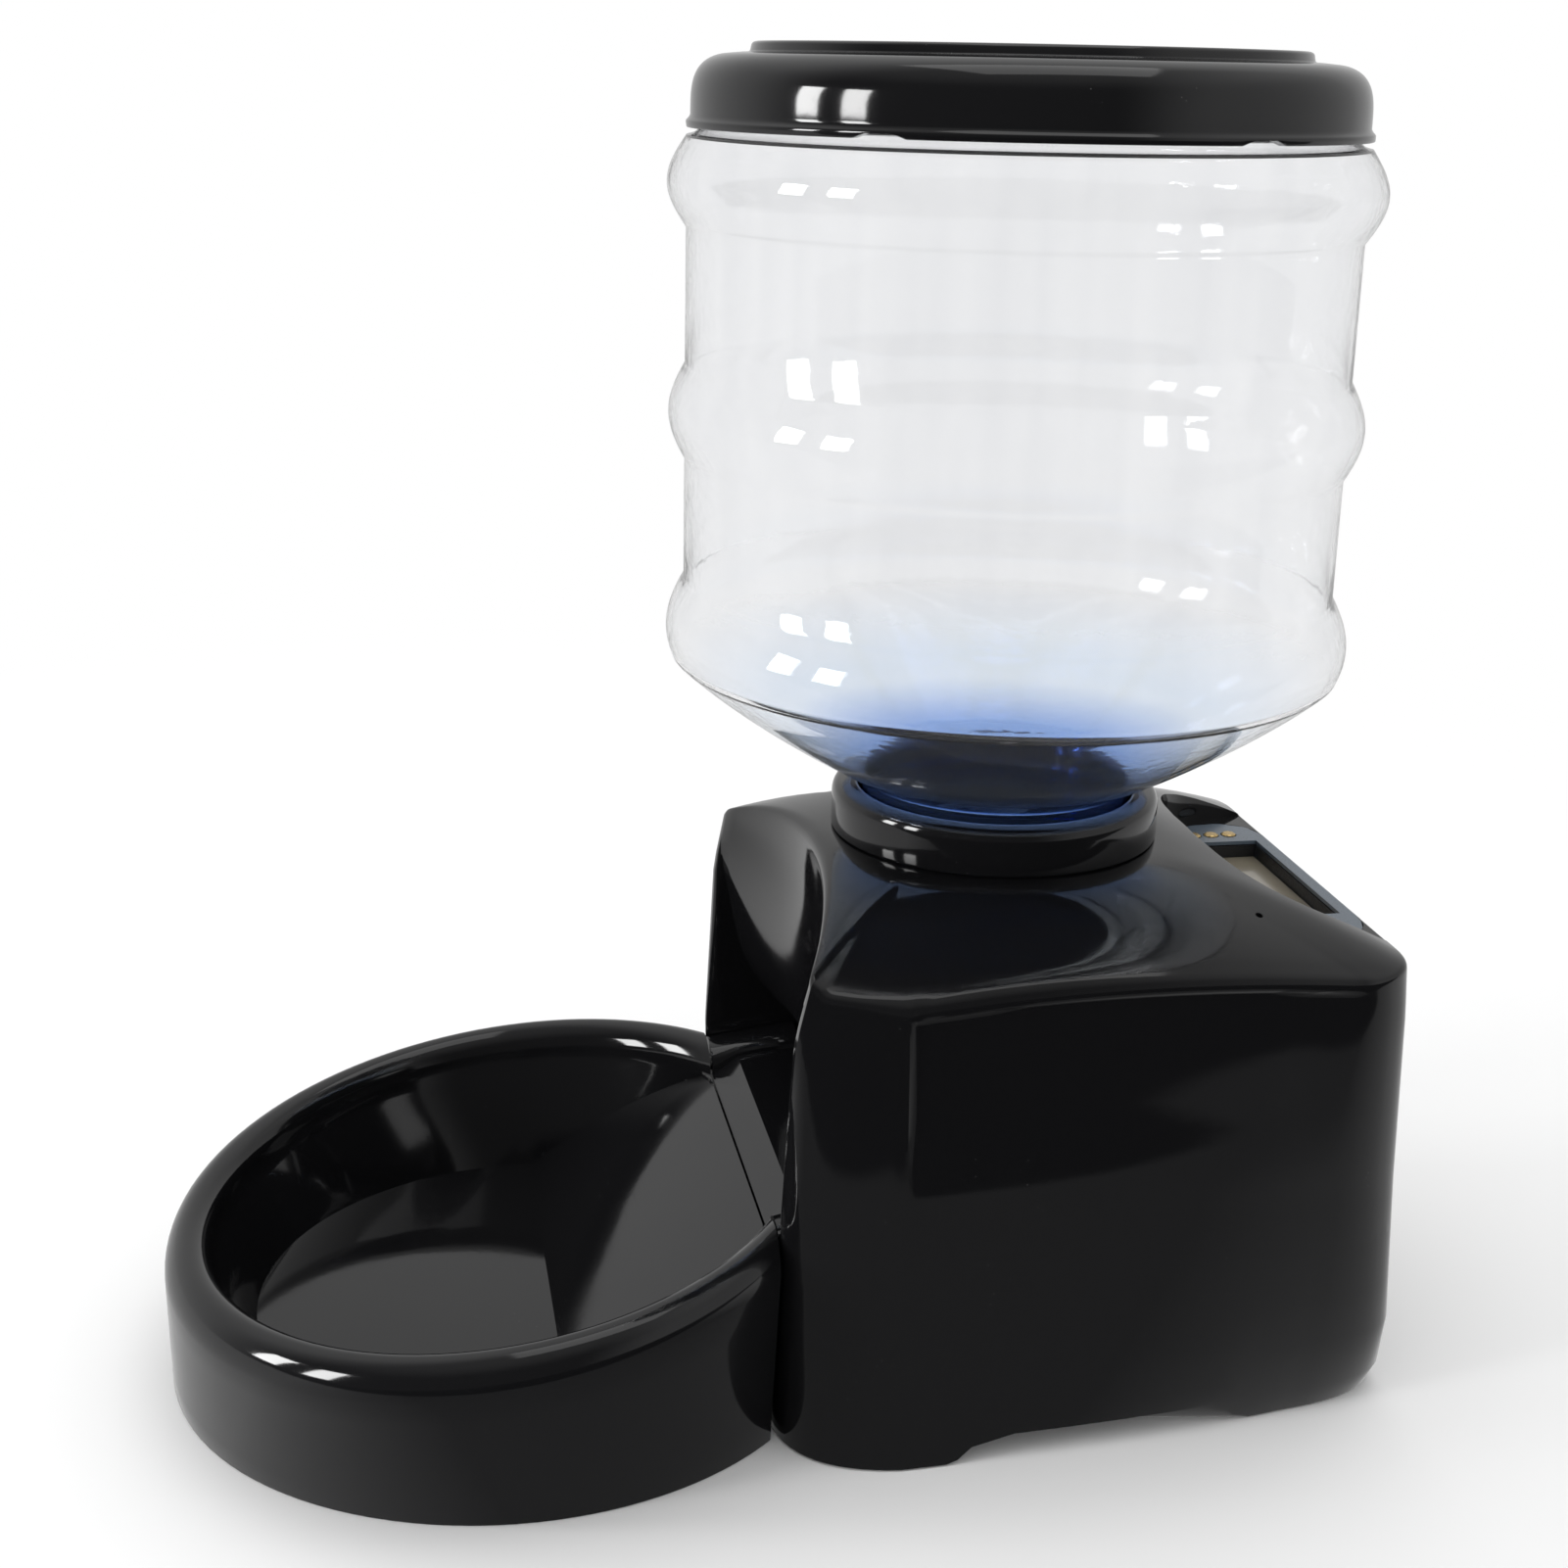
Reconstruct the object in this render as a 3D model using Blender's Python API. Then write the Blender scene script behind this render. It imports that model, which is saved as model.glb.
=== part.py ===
"""Automatic pet feeder: a hopper bottle over a paddle-wheel dispenser, with a pull-off bowl.

Metres, +Z up. X is the width, the bowl points to -Y and the control panel faces the rear, +Y.
Shapes are written in a frame whose origin is on the floor under the hopper's axis. add() moves
them to the part's own origin, the middle of the footprint.
"""
import math

import bmesh
import bpy
from mathutils import Vector

# Driving dimensions
AXIS_Y = 0.0694            # hopper axis, behind the middle of the footprint
WALL = 0.0026              # moulded wall
GAP = 0.0003               # space between touching pieces
ROUND = 36                 # sides of the large round parts
SMALL = 16                 # sides of the small round parts

# Hopper bottle
BARREL_R = 0.0951
BULGES = ((0.3555, 0.0125, 0.0054), (0.2915, 0.0135, 0.0047))   # centre height, half width, rise
LOW_BULGE = (0.2285, 0.0145, 0.0051)
SHOULDER = ((0.0984, 0.2205), (0.0882, 0.2110), (0.0690, 0.1970), (0.0412, 0.1822))
NECK_R = 0.0405
NECK_BOTTOM = 0.1600
BOTTLE_WALL = 0.0016
RIM_TOP = 0.3770

# Base housing: height, handles of the front and rear corners in plan, and the sides' swell
COLLAR_R = 0.0495
TENT_R = 0.0499
TENT_Z = 0.1658
SECTIONS = (
    (0.0000, ((0.0600, -0.0765), (0.0860, -0.0740), (0.0888, -0.0430)),
     ((0.0745, 0.0800), (0.0700, 0.1145), (0.0500, 0.1145)), 0.0022),
    (0.0150, ((0.0628, -0.0766), (0.0855, -0.0745), (0.0886, -0.0432)),
     ((0.0800, 0.0815), (0.0780, 0.1145), (0.0625, 0.1145)), 0.0020),
    (0.0750, ((0.0740, -0.0772), (0.0835, -0.0765), (0.0878, -0.0440)),
     ((0.0820, 0.0832), (0.0805, 0.1106), (0.0622, 0.1106)), 0.0015),
    (0.1300, ((0.0760, -0.0745), (0.0805, -0.0700), (0.0872, -0.0450)),
     ((0.0855, 0.0850), (0.0830, 0.1058), (0.0640, 0.1058)), 0.0008),
    (0.1450, ((0.0768, -0.0714), (0.0800, -0.0640), (0.0870, -0.0455)),
     ((0.0860, 0.0850), (0.0830, 0.1047), (0.0620, 0.1047)), 0.0005),
)
FOOT_CUT_H = 0.0085

# Alcove in the front wall: height, side Y, middle Y and half width of its back
ALCOVE = (
    (0.0580, -0.0440, -0.0475, 0.0713), (0.0775, -0.0440, -0.0475, 0.0713),
    (0.0846, -0.0557, -0.0500, 0.0713), (0.0920, -0.0610, -0.0515, 0.0713),
    (0.1010, -0.0655, -0.0530, 0.0713), (0.1160, -0.0690, -0.0545, 0.0716),
    (0.1340, -0.0722, -0.0560, 0.0725), (0.1500, -0.0718, -0.0564, 0.0748),
    (0.1900, -0.0718, -0.0568, 0.0760),
)

# Control panel, a level shelf cut into the rear of the top
PANEL_Z = 0.1450
RECESS = ((0.0615, 0.1250), (0.0608, 0.1030), (0.0590, 0.0940), (0.0550, 0.0823),
          (0.0500, 0.0757), (0.0440, 0.0702), (0.0300, 0.0645), (0.0100, 0.0620))
FASCIA = ((0.0530, 0.0940), (0.0480, 0.1020), (0.0400, 0.1046), (-0.0400, 0.1046),
          (-0.0480, 0.1020), (-0.0530, 0.0940), (-0.0520, 0.0835), (-0.0455, 0.0745),
          (-0.0330, 0.0690), (0.0330, 0.0690), (0.0455, 0.0745), (0.0520, 0.0835))
FASCIA_T = 0.0012
WINDOW = (0.0345, 0.0735, 0.1005)          # half width, front Y, rear Y
SCREEN_TOP = 0.1396
BUTTON_X = -0.0415
BUTTON_YS = (0.0935, 0.0874, 0.0813, 0.0752)
BUTTON_R = 0.0024
MIC = (0.0630, 0.0625)

# Bowl: a wide oval rim that slopes down to the front
BOWL_Y = -0.1511
PARTING_Y = -0.0777
RIM_X, RIM_Y = 0.1130, 0.1022
FOOT_X, FOOT_Y = 0.0977, 0.1018
CROWN_W, CROWN_H = 0.0139, 0.0100
LIP_DROP = 0.0090
RIM_Z, RIM_SLOPE = 0.0609, 0.1364
FLOOR_Z = 0.0175
FLOOR_X, FLOOR_YR, FLOOR_YC = 0.0865, 0.0859, -0.1412
CREASE_Y = -0.1370
SPOUT_Z = 0.0610
SPOUT_HALF = 0.0485

# Dispenser
ROTOR_Z = 0.1180
ROTOR_R = 0.0290
DRUM_R = 0.0300
DRUM_HALF = 0.0315
SHAFT_R = 0.0040
MODULE = 0.0014
GEAR_TEETH, PINION_TEETH = 36, 12
GEAR_X, GEAR_W = 0.0365, 0.0050
PINION_ANGLE = math.radians(-20)
PADDLES = 6

# Underside
PLATE_Z, PLATE_T = 0.0106, 0.0024
FEET = ((0.0660, -0.0380), (-0.0660, -0.0380), (0.0655, 0.0640), (-0.0655, 0.0640))
DOOR_HALF, DOOR_Y0, DOOR_Y1 = 0.0540, 0.0330, 0.1030
CELL_R, CELL_L, NUB_L, CELL_PITCH = 0.0166, 0.0594, 0.0016, 0.0345
CELL_Z = 0.0312
TRAY_T = 0.0015
TRAY_X, TRAY_Y0, TRAY_Y1, TRAY_TOP = 0.0555, 0.0315, 0.1040, 0.0500
CONTACT_T = 0.0005

MATERIALS = {
    "black_abs": ((0.012, 0.012, 0.013, 1), 0.12, 0.0),
    "dark_abs": ((0.03, 0.03, 0.032, 1), 0.4, 0.0),
    "clear_pet": ((0.75, 0.82, 0.95, 0.3), 0.05, 0.0),
    "fascia_film": ((0.28, 0.34, 0.40, 1), 0.35, 0.0),
    "lcd": ((0.45, 0.42, 0.33, 1), 0.2, 0.0),
    "gold_key": ((0.62, 0.47, 0.22, 1), 0.3, 0.2),
    "circuit": ((0.02, 0.16, 0.07, 1), 0.5, 0.0),
    "white_nylon": ((0.80, 0.79, 0.75, 1), 0.45, 0.0),
    "steel": ((0.55, 0.55, 0.56, 1), 0.3, 1.0),
    "rubber": ((0.03, 0.03, 0.03, 1), 0.8, 0.0),
    "cell_wrap": ((0.10, 0.12, 0.20, 1), 0.35, 0.1),
    "silicone": ((0.70, 0.72, 0.74, 1), 0.6, 0.0),
}


def material(name):
    """A plain finish for one kind of stuff."""
    found = bpy.data.materials.get(name)
    if found:
        return found
    colour, rough, metal = MATERIALS[name]
    made = bpy.data.materials.new(name)
    made.use_nodes = True
    shader = made.node_tree.nodes["Principled BSDF"]
    shader.inputs["Base Color"].default_value = colour
    shader.inputs["Roughness"].default_value = rough
    shader.inputs["Metallic"].default_value = metal
    return made


def add(name, verts, faces, stuff, origin=(0, 0, 0), sharp=35):
    """Make one object from points in the hopper frame, with its origin where asked."""
    start = Vector(origin)
    mesh = bpy.data.meshes.new(name)
    mesh.from_pydata([tuple(Vector(v) - start) for v in verts], [], faces)
    shape = bmesh.new()
    shape.from_mesh(mesh)
    bmesh.ops.recalc_face_normals(shape, faces=shape.faces)
    shape.to_mesh(mesh)
    shape.free()
    mesh.materials.append(material(stuff))
    mesh.shade_smooth()
    mesh.set_sharp_from_angle(angle=math.radians(sharp))
    made = bpy.data.objects.new(name, mesh)
    made.location = start + Vector((0, AXIS_Y, 0))
    bpy.context.scene.collection.objects.link(made)
    return made


def loft(rings, closed=False):
    """Join rings of equal length by quads, with end caps unless the rings close up."""
    count = len(rings[0])
    verts = [p for ring in rings for p in ring]
    faces = []
    total = len(rings)
    for k in range(total if closed else total - 1):
        a, b = k * count, (k + 1) % total * count
        for i in range(count):
            j = (i + 1) % count
            faces.append((a + i, a + j, b + j, b + i))
    if not closed:
        faces.append(tuple(range(count))[::-1])
        faces.append(tuple(range((total - 1) * count, total * count)))
    return verts, faces


def place(axis, centre, u, v, h):
    """A point at (u, v) across an axis and h along it."""
    x, y, z = centre
    if axis == "X":
        return (x + h, y + u, z + v)
    if axis == "Y":
        return (x + v, y + h, z + u)
    return (x + u, y + v, z + h)


def turn(name, profile, stuff, axis="Z", centre=(0, 0, 0), sides=SMALL, closed=False, origin=None):
    """Turn (radius, height) points about an axis."""
    rings = []
    for radius, height in profile:
        ring = []
        for i in range(sides):
            angle = 2 * math.pi * i / sides
            ring.append(place(axis, centre, radius * math.cos(angle), radius * math.sin(angle), height))
        rings.append(ring)
    return add(name, *loft(rings, closed), stuff, origin or centre)


def prism(name, outline, low, high, stuff, axis="Z", centre=(0, 0, 0), origin=None):
    """Extrude an outline along an axis."""
    rings = [[place(axis, centre, u, v, h) for u, v in outline] for h in (low, high)]
    return add(name, *loft(rings), stuff, origin or centre)


def box(name, low, high, stuff, origin=None):
    """A block between two corners."""
    outline = ((low[0], low[1]), (high[0], low[1]), (high[0], high[1]), (low[0], high[1]))
    middle = [(a + b) / 2 for a, b in zip(low, high)]
    return prism(name, outline, low[2], high[2], stuff, origin=origin or middle)


def combine(target, others, how="DIFFERENCE"):
    """Cut or join other objects into the target, then delete them."""
    for other in others:
        step = target.modifiers.new(how, "BOOLEAN")
        step.operation = how
        step.solver = "EXACT"
        step.object = other
    bpy.context.view_layer.update()
    graph = bpy.context.evaluated_depsgraph_get()
    result = bpy.data.meshes.new_from_object(target.evaluated_get(graph))
    target.modifiers.clear()
    target.data = result
    for other in others:
        bpy.data.objects.remove(other)
    shape = bmesh.new()
    shape.from_mesh(result)
    bmesh.ops.remove_doubles(shape, verts=shape.verts, dist=2e-6)
    bmesh.ops.dissolve_degenerate(shape, edges=shape.edges, dist=2e-6)
    shape.to_mesh(result)
    shape.free()
    keep = target.data.materials[0]
    target.data.materials.clear()
    target.data.materials.append(keep)
    target.data.shade_smooth()
    target.data.set_sharp_from_angle(angle=math.radians(35))
    return target


def mix(a, b, t):
    """Blend two points or numbers."""
    if isinstance(a, tuple):
        return tuple(mix(p, q, t) for p, q in zip(a, b))
    return a + (b - a) * t


def bend(points, t):
    """A point on the Bezier curve through two ends and one or two handles."""
    row = list(points)
    while len(row) > 1:
        row = [mix(p, q, t) for p, q in zip(row, row[1:])]
    return row[0]


# Hopper -------------------------------------------------------------------------------------

def bulge_points(centre, half, rise, steps, low_end=1.0):
    """Half a cosine swelling of the barrel, from the top down."""
    out = []
    for k in range(steps + 1):
        u = 1 - (1 + low_end) * k / steps
        out.append((BARREL_R + rise * math.cos(math.pi / 2 * u), centre + half * u))
    return out


def bottle_outline():
    """The bottle's outer side, from the mouth down to the neck's end."""
    points = [(0.0915, RIM_TOP), (0.0915, 0.3700)]
    points += bulge_points(*BULGES[0], 6)
    points += bulge_points(*BULGES[1], 6)
    points += bulge_points(*LOW_BULGE, 5, 0.55)
    points += [bend(SHOULDER, t / 6) for t in range(1, 7)]
    points += [(NECK_R, 0.1800), (NECK_R, NECK_BOTTOM)]
    return points


def inset_outline(points, wall):
    """The same line, moved inwards along its normals."""
    out = []
    for k, (r, z) in enumerate(points):
        a = points[max(k - 1, 0)]
        b = points[min(k + 1, len(points) - 1)]
        dr, dz = b[0] - a[0], b[1] - a[1]
        size = math.hypot(dr, dz)
        shift_z = 0 if k in (0, len(points) - 1) else dr / size * wall
        out.append((r + dz / size * wall, z - shift_z))
    return out


def make_hopper():
    """Bottle, collar ring, lid and its seal."""
    outer = bottle_outline()
    inner = inset_outline(outer, BOTTLE_WALL)
    turn("hopper_bottle", outer + inner[::-1], "clear_pet", sides=ROUND, closed=True)

    collar = [(0.0486, TENT_Z + GAP), (COLLAR_R, 0.1682), (COLLAR_R, 0.1745), (0.0484, 0.1780),
              (0.0456, 0.1804), (0.0430, 0.1806), (0.0414, 0.1790), (0.0414, TENT_Z + GAP)]
    turn("neck_collar", collar, "black_abs", sides=ROUND, closed=True)

    skirt = [(0.0921, 0.3700), (0.0952, 0.3700), (0.0952, 0.3716), (0.0941, 0.3734), (0.0938, 0.3830),
             (0.0922, 0.3864), (0.0890, 0.3887), (0.0840, 0.3898), (0.0778, 0.3903), (0.0768, 0.3926),
             (0.0755, 0.3932)]
    under = [(0.0740, 0.3905), (0.0750, 0.3878), (0.0868, 0.3868), (0.0868, 0.3745), (0.0886, 0.3745),
             (0.0886, 0.3795), (0.0921, 0.3795)]
    lid_profile(skirt, under)
    seal = [(0.0889, RIM_TOP + GAP), (0.0914, RIM_TOP + GAP), (0.0914, 0.3790), (0.0889, 0.3790)]
    turn("lid_seal", seal, "silicone", sides=ROUND, closed=True)


def lid_profile(skirt, under):
    """The lid: outer side up to its middle, then the inside down to the skirt."""
    rings = []
    for radius, height in [*under, *skirt]:
        rings.append([(radius * math.cos(2 * math.pi * i / ROUND),
                       radius * math.sin(2 * math.pi * i / ROUND), height) for i in range(ROUND)])
    add("lid_cap", *loft(rings), "black_abs", origin=(0, 0, RIM_TOP))


# Base housing ---------------------------------------------------------------------------------

def corner(points, steps):
    """Points along a rounded corner."""
    return [bend(points, k / steps) for k in range(steps + 1)]


def plan_ring(z, inset=0.0):
    """Half of the housing's plan at a height, front middle to rear middle on +X."""
    below, above = SECTIONS[0], SECTIONS[1]
    for pair in zip(SECTIONS, SECTIONS[1:]):
        if z >= pair[0][0]:
            below, above = pair
    t = min(max((z - below[0]) / (above[0] - below[0]), 0.0), 1.0)
    front, rear, swell = (mix(below[k], above[k], t) for k in (1, 2, 3))
    half = [(front[0][0] * k / 3, front[0][1]) for k in range(3)]
    half += corner(front, 5)
    for k in range(1, 5):
        u = k / 5
        x, y = mix(front[2], rear[0], u)
        half.append((x + swell * 4 * u * (1 - u), y))
    half += corner(rear, 5)
    half += [(rear[2][0] * k / 3, rear[2][1]) for k in (2, 1, 0)]
    if not inset:
        return half
    out = []
    for k, (x, y) in enumerate(half):
        a = half[k - 1] if k else (-half[1][0], half[1][1])
        b = half[k + 1] if k + 1 < len(half) else (-half[-2][0], half[-2][1])
        dx, dy = b[0] - a[0], b[1] - a[1]
        size = math.hypot(dx, dy)
        out.append((x - dy / size * inset, y + dx / size * inset))
    out[0] = (0.0, out[0][1])
    out[-1] = (0.0, out[-1][1])
    return out


def edge_height(x, y):
    """Height of the wall's top edge: an arch along each side and across the front."""
    if y < -0.065:
        return 0.1555 - 0.0075 * (x / 0.0768) ** 2
    if y > 0.100:
        return 0.1446
    if y < -0.040:
        return mix(0.1480, 0.1432, (y + 0.065) / 0.025)
    return 0.1478 - 0.0052 * ((y - 0.025) / 0.068) ** 2


def mirror(half):
    """A full ring from its +X half, whose first and last points lie in the middle plane."""
    return half + [(-p[0], *p[1:]) for p in half[-2:0:-1]]


def housing_rings(inset, low, drop):
    """Rings of the housing's outside, or of its hollow when inset."""
    rings = []
    for z in (low, 0.0150, 0.0400, 0.0750, 0.1300):
        rings.append(mirror([(x, y, z) for x, y in plan_ring(z, inset)]))
    wall_top = [(x, y, edge_height(x, y) - drop - 0.0040) for x, y in plan_ring(0.1390, inset)]
    rings.append(mirror(wall_top))
    edge = [(x, y, edge_height(x, y) - drop) for x, y in plan_ring(0.1450, inset)]
    inner = TENT_R - inset * 0.4
    for share in (0.96, 0.7, 0.35, 0.0):
        half = []
        for x, y, z in edge:
            angle = math.atan2(x, y)
            ring_point = (inner * math.sin(angle), inner * math.cos(angle))
            px, py = mix(ring_point, (x, y), share)
            half.append((px, py, z + (TENT_Z - drop - z) * (1 - share ** 1.4)))
        half[0] = (0.0, *half[0][1:])
        half[-1] = (0.0, *half[-1][1:])
        rings.append(mirror(half))
    return rings


def alcove_rings(grow):
    """Plan sections of the front alcove, from its floor up."""
    rings = []
    for z, side_y, mid_y, half in ALCOVE:
        level = z - grow if z == ALCOVE[0][0] else z
        width = half + grow
        ring = [(width, -0.1200, level)]
        for k in range(13):
            u = 1 - k / 6
            ring.append((width * u, mid_y + (side_y - mid_y) * u * u + grow, level))
        ring.append((-width, -0.1200, level))
        rings.append(ring)
    return rings


def recess_outline(grow):
    """Plan of the panel recess."""
    half = [(x + grow, y - (grow if k > 1 else 0)) for k, (x, y) in enumerate(RECESS)]
    return half + [(-x, y) for x, y in half[::-1]]


def grown(outline, amount):
    """An outline moved outwards from its middle, by amount on each side."""
    mx = sum(p[0] for p in outline) / len(outline)
    my = sum(p[1] for p in outline) / len(outline)
    wide = max(p[0] for p in outline) - min(p[0] for p in outline)
    deep = max(p[1] for p in outline) - min(p[1] for p in outline)
    sx, sy = 1 + 2 * amount / wide, 1 + 2 * amount / deep
    return [(mx + (x - mx) * sx, my + (y - my) * sy) for x, y in outline]


# Screw places and the heights where their bosses join the alcove's floor or the panel's shelf
SCREWS = ((0.0700, -0.0560), (-0.0700, -0.0560), (0.0617, 0.0950), (-0.0617, 0.0950))
BOSS_TOPS = (0.0570, 0.0570, 0.1430, 0.1430)


def make_housing():
    """The black upper shell, open underneath."""
    stuff = "black_abs"
    shell = add("base_housing", *loft(housing_rings(0.0, 0.0006, 0.0)), stuff)
    side_cut = [(-0.0275, -0.0100), (-0.0190, FOOT_CUT_H), (0.0560, FOOT_CUT_H), (0.0640, -0.0100)]
    for low_x, high_x in ((-0.1200, -0.0500), (0.0500, 0.1200)):
        combine(shell, [prism("foot_cut", side_cut, low_x, high_x, stuff, axis="X")])
    hollow = add("hollow", *loft(housing_rings(WALL, -0.0100, WALL)), stuff)
    alcove_wall = add("alcove_wall", *loft(alcove_rings(WALL)), stuff)
    shelf = prism("shelf", recess_outline(WALL), PANEL_Z - FASCIA_T - WALL, 0.2000, stuff)
    combine(hollow, [alcove_wall, shelf])
    low = PLATE_Z + PLATE_T + GAP
    for k, ((x, y), top) in enumerate(zip(SCREWS, BOSS_TOPS)):
        combine(hollow, [turn(f"boss_{k}", [(0.0046, low), (0.0046, top)], stuff, centre=(x, y, 0))])
    cuts = [hollow, add("alcove", *loft(alcove_rings(0.0)), stuff),
            prism("recess", recess_outline(0.0), PANEL_Z, 0.2000, stuff)]
    combine(shell, cuts)
    half, front, rear = WINDOW
    cuts = [
        turn("neck_hole", [(0.0424, 0.1500), (0.0424, 0.2000)], stuff, sides=ROUND),
        prism("film_pocket", grown(FASCIA, GAP), PANEL_Z - FASCIA_T - GAP, 0.2000, stuff),
        box("window", (-half - 0.0016, front - 0.0016, 0.1300), (half + 0.0016, rear + 0.0016, 0.1500), stuff),
        box("throat", (-0.0520, -0.0600, 0.0602), (0.0520, -0.0400, 0.0890), stuff),
        turn("mic_hole", [(0.0011, 0.1450), (0.0011, 0.1700)], stuff, centre=(*MIC, 0), sides=12),
    ]
    for k, (x, y) in enumerate(SCREWS):
        cuts.append(turn(f"pilot_{k}", [(0.0018, 0.0), (0.0018, 0.0300)], stuff, centre=(x, y, 0), sides=12))
    for k, y in enumerate(BUTTON_YS):
        cuts.append(turn(f"key_hole_{k}", [(BUTTON_R + 0.0005, 0.1300), (BUTTON_R + 0.0005, 0.1500)], stuff,
                         centre=(BUTTON_X, y, 0)))
    combine(shell, cuts)


# Bowl and spout -----------------------------------------------------------------------------------

def rim_z(y):
    """Height of the rim's crown: it falls towards the front."""
    return RIM_Z + RIM_SLOPE * (y - BOWL_Y)


def tray_z(y):
    """Height of the inside: a level floor, then a straight ramp up to the spout."""
    slope = (SPOUT_Z - FLOOR_Z) / (PARTING_Y - CREASE_Y)
    return FLOOR_Z + max(0.0, y - CREASE_Y) * slope


def oval(ax, ay, yc, back, last_x=None):
    """Half of an oval on +X, from the front to the back plane, with a point on the crease."""
    crease = math.asin((CREASE_Y - yc) / ay)
    near = math.asin((back - 0.0023 - yc) / ay)
    angles = [mix(-math.pi / 2, crease, k / 8) for k in range(8)]
    angles += [mix(crease, near, k / 4) for k in range(5)]
    half = [(ax * math.cos(a), yc + ay * math.sin(a)) for a in angles]
    end = math.asin((back - yc) / ay)
    half.append((last_x or ax * math.cos(end), back))
    half[0] = (0.0, half[0][1])
    return half


def make_bowl():
    """The bowl: outer wall, rounded rim, and an inside with a floor and a ramp."""
    wall = 0.0024
    back = PARTING_Y - 0.0002
    rows = []
    under = oval(FLOOR_X - 0.0010, FLOOR_YR - 0.0010, FLOOR_YC, back - wall)
    rows.append([(x, y, tray_z(y) - wall) for x, y in under])
    rows.append([(x, y, 0.0) for x, y in oval(FOOT_X - wall, FOOT_Y - wall, BOWL_Y, back - wall)])
    rows.append([(x, y, 0.0) for x, y in oval(FOOT_X, FOOT_Y, BOWL_Y, back)])
    mid = [(x, y, 0.024) for x, y in oval(mix(FOOT_X, RIM_X, 0.5), mix(FOOT_Y, RIM_Y, 0.5), BOWL_Y, back)]
    rows.append(mid)
    for k in range(7):
        angle = math.pi * k / 6
        shift = CROWN_W / 2 * (1 - math.cos(angle))
        drop = CROWN_H if k < 3 else LIP_DROP
        line = oval(RIM_X - shift, RIM_Y - shift, BOWL_Y, back)
        rows.append([(x, y, rim_z(y) - drop * (1 - math.sin(angle))) for x, y in line])
    floor = oval(FLOOR_X, FLOOR_YR, FLOOR_YC, back, SPOUT_HALF)
    rows.append([(x, y, tray_z(y)) for x, y in floor])

    size = 2 * len(rows[0]) - 1
    rings = []
    for row in rows:
        rings.append([(-x, y, z) for x, y, z in row[:0:-1]] + row)
    verts = [p for ring in rings for p in ring]
    faces = []
    for k in range(len(rings) - 1):
        a, b = k * size, (k + 1) * size
        faces += [(a + i, a + i + 1, b + i + 1, b + i) for i in range(size - 1)]
        if k < 2:
            faces.append((a + size - 1, a, b, b + size - 1))
    last = (len(rings) - 1) * size
    back_face = [2 * size + k * size + size - 1 for k in range(len(rings) - 2)]
    back_face += [2 * size + k * size for k in range(len(rings) - 3, -1, -1)]
    faces.append(tuple(back_face))
    left, right = size // 2 - 8, size // 2 + 8
    for start in (0, last):
        faces.append(tuple(range(start + left, start + right + 1)))
        faces.append(tuple(range(start + right, start + size)) + tuple(range(start, start + left + 1)))
    add("bowl", verts, faces, "black_abs", origin=(0, PARTING_Y, 0))


def make_spout():
    """The fixed mouth between the dispenser and the bowl, with a rim that carries on the bowl's."""
    front, step, back = PARTING_Y + 0.0004, -0.0665, -0.0481
    rings = []
    for y in (front, step, back):
        floor = SPOUT_Z + max(0.0, y - step) * 0.70
        top = rim_z(y)
        half = mix(SPOUT_HALF, 0.0440, max(0.0, y - step) / (back - step))
        lip = max(top - LIP_DROP, floor + 0.0002)
        under = floor - 0.0024
        side = [(half, floor), (0.0550, lip), (0.0575, mix(lip, top, 0.62)), (0.0610, mix(lip, top, 0.9)),
                (0.0655, top), (0.0695, top - 0.0002), (0.0708, top - 0.0012), (0.0708, under)]
        loop = side + [(-x, z) for x, z in side[::-1]]
        rings.append([(x, y, z) for x, z in loop])
    add("chute_spout", *loft(rings), "black_abs", origin=(0, PARTING_Y, SPOUT_Z))


# Dispenser -----------------------------------------------------------------------------------------

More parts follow.
